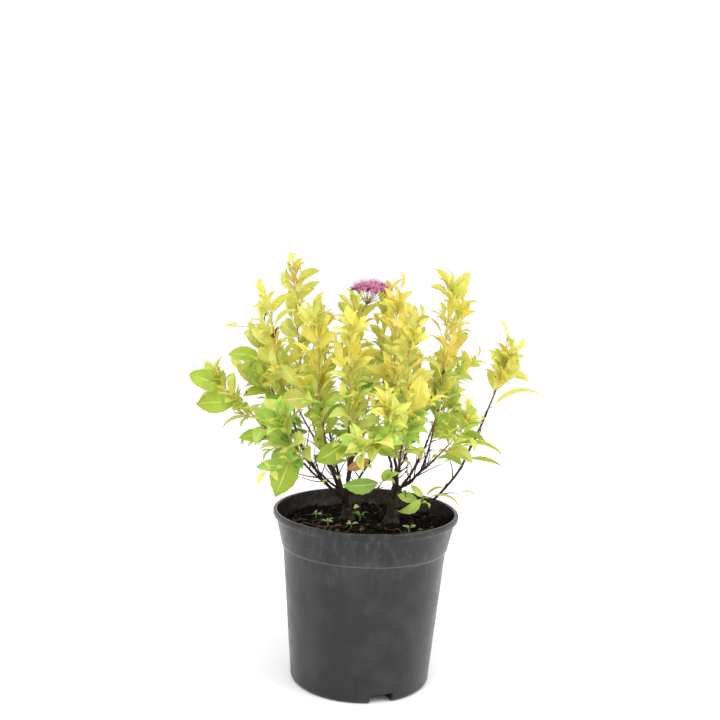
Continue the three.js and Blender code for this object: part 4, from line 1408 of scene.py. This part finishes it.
def floret(piece, centre, axis, size, random):
    """An open floret of five round petals, with stamens that stand well out of it."""
    first, second = around(axis, 0), around(axis, 90)
    start = 360 * random()
    for k in range(5):
        turn = math.radians(start + 72 * k)
        out = first * math.cos(turn) + second * math.sin(turn)
        side = np.cross(axis, out)
        foot = centre + out * 0.15 * size
        middle = centre + out * 0.62 * size + axis * 0.22 * size
        tip = centre + out * size + axis * 0.12 * size
        wide = side * 0.36 * size
        lift = axis * 0.1 * size
        shoulder = mix(middle, tip, 0.65)
        points = [
            foot, middle - wide + lift, middle, middle + wide + lift,
            shoulder - wide * 0.75, tip, shoulder + wide * 0.75,
        ]
        piece.add(points, [[0, 1, 2], [0, 2, 3], [1, 4, 5, 2], [2, 5, 6, 3]], 0)
    for _ in range(9):
        turn = 360 * random()
        way = tilted(axis, around(axis, turn), 12 + 34 * random())
        end = centre + way * size * (1.3 + 0.6 * random())
        piece.add(*tube([centre, end], [0.1, 0.07], 3), 1)
        piece.add(*bead(end, 0.22), 2)


def bead(centre, radius):
    """A small eight-faced grain."""
    points = [centre + radius * np.array(way) for way in (
        (1, 0, 0), (0, 1, 0), (-1, 0, 0), (0, -1, 0), (0, 0, 1), (0, 0, -1))]
    faces = [[k, (k + 1) % 4, 4] for k in range(4)] + [[(k + 1) % 4, k, 5] for k in range(4)]
    return points, faces


def bud(piece, centre, axis, radius, slot):
    path = [centre + axis * radius * step for step in (-1, -0.6, 0, 0.6, 1)]
    piece.add(*tube(path, [radius * share for share in (0.2, 0.8, 1, 0.8, 0.2)], 6), slot)


# The turn from one floret to the next, as on a sunflower's head.
SPIRAL = 137.5


def make_flower(canes):
    mass = canes[FLOWERING]
    centre = corymb_centre(mass)
    stalk_top = mass.axis[-1]
    random = random_stream(4242)
    head, stalks = Piece("flower_head"), Piece("flower_stalks")
    joint = mix(stalk_top, centre - UP * CORYMB.under, 0.55)
    stalks.add(*tube([stalk_top, joint], [0.85, 0.75], 8))
    forks = []
    for ray in range(CORYMB.rays):
        out = outward(SPIRAL * ray) * math.sqrt((ray + 0.5) / CORYMB.rays)
        fork = centre + out * CORYMB.radius * 0.7 + UP * (3.5 - 5 * (out @ out))
        stalks.add(*tube([joint, mix(joint, fork, 0.5) - UP, fork], [0.4, 0.34, 0.26], 5))
        forks.append(fork)
    for k in range(CORYMB.places):
        spread = math.sqrt((k + 0.5) / CORYMB.places)
        out = outward(SPIRAL * k)
        dome = math.sqrt(max(1 - (CORYMB.filled * spread) ** 2, 0))
        rise = UP * (CORYMB.height * 0.8 * dome - 1)
        over = centre + out * CORYMB.radius * CORYMB.filled * spread + rise
        place = jogged(over, CORYMB.jog, random)
        axis = tilted(UP, out, CORYMB.splay * spread)
        fork = min(forks, key=lambda point: math.dist(point, place))
        stalks.add(*tube([fork, mix(fork, place, 0.5) + UP, place], [0.24, 0.2, 0.16], 4))
        if random() < 0.2 + 0.45 * spread ** 4:
            for _ in range(3):
                bud(head, jogged(place, 4, random), axis, 0.8 + 0.35 * random(), 3)
        else:
            floret(head, place, axis, 2.6 + 0.7 * random(), random)
    nodes = ["foliage_" + FLOWERING]
    head.build([
        mottled("petal", linear(178, 98, 146), 3, 0.34, specular=0.35),
        mottled("filament", linear(226, 150, 186), 3, 0.1, specular=0.3),
        mottled("anther", linear(214, 176, 150), 2, 0.15, roughness=0.6, specular=0.3),
        mottled("flower_bud", linear(128, 40, 84), 2, 0.25),
    ], "leaf", nodes)
    green = linear(150, 120, 74)
    stalk = mottled("flower_stalk", green, 4, 0.2, roughness=0.55, depth=0.08, specular=0.3)
    stalks.build([stalk], "bark", nodes)


# ---- stage


def make_floor():
    floor = Piece("floor_stage")
    size = 40000
    corners = [(-size, -size, 0), (size, -size, 0), (size, size, 0), (-size, size, 0)]
    floor.add(corners, [[0, 1, 2, 3]])
    grey = (0.9, 0.9, 0.91, 1)
    pale = mottled("pale_floor", grey, 900, 0.01, roughness=0.7, depth=0.0, specular=0.2)
    floor.make([pale], smooth_shading=False)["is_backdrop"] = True


# The lamps: place in metres, size and power. They look at the middle of the shrub.
LAMPS = {
    "key": ((-0.5, -1.35, 1.9), 1.4, 22),
    "fill": ((1.4, -0.7, 1.3), 1.2, 18),
}
LIT = Vector((0, 0, 0.25))


def make_light():
    world = bpy.data.worlds.new("studio")
    bpy.context.scene.world = world
    world.use_nodes = True
    sky = world.node_tree.nodes["Background"].inputs
    sky["Color"].default_value = (1.0, 1.0, 1.0, 1)
    sky["Strength"].default_value = 1.12
    for name, (place, size, power) in LAMPS.items():
        light = bpy.data.lights.new(name, "AREA")
        light.size = size
        light.energy = power
        lamp = linked(name, light)
        lamp.location = place
        lamp.rotation_euler = (LIT - Vector(place)).to_track_quat("-Z", "Y").to_euler()


# The photo's camera: its place in metres, its view in degrees and its focal length in pixels.
CAMERA = SimpleNamespace(
    place=(0.0, -1.0744, 0.4612), down=6.83, roll=2.36, yaw=-0.66, focal=1067.2, picture=720,
    sensor=36,
)


def make_camera():
    yaw, pitch, roll = (math.radians(a) for a in (CAMERA.yaw, -CAMERA.down, CAMERA.roll))
    ahead = Vector((math.sin(yaw), math.cos(yaw), 0))
    forward = ahead * math.cos(pitch) + Vector(UP) * math.sin(pitch)
    right = Vector((math.cos(yaw), -math.sin(yaw), 0))
    upward = right.cross(forward)
    level_right = right * math.cos(roll) + upward * math.sin(roll)
    level_up = upward * math.cos(roll) - right * math.sin(roll)
    data = bpy.data.cameras.new("camera")
    data.sensor_width = CAMERA.sensor
    data.lens = CAMERA.sensor * CAMERA.focal / CAMERA.picture
    data.clip_end = 200
    camera = linked("camera", data)
    turn = Matrix((level_right, level_up, -forward)).transposed()
    camera.matrix_world = Matrix.Translation(CAMERA.place) @ turn.to_4x4()
    bpy.context.scene.camera = camera


# ---- the shrub

make_camera()
make_floor()
make_light()
bpy.context.scene.view_settings.view_transform = "Standard"
shrub_canes = trace_canes()
make_pot()
make_soil()
make_stumps()
make_foliage(shrub_canes)
make_boughs(shrub_canes)
make_twigs(shrub_canes)
make_flower(shrub_canes)

boxes = {"cad": CAD_BOX, "visual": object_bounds()}
{name: [list(corner) for corner in box] for name, box in boxes.items()}
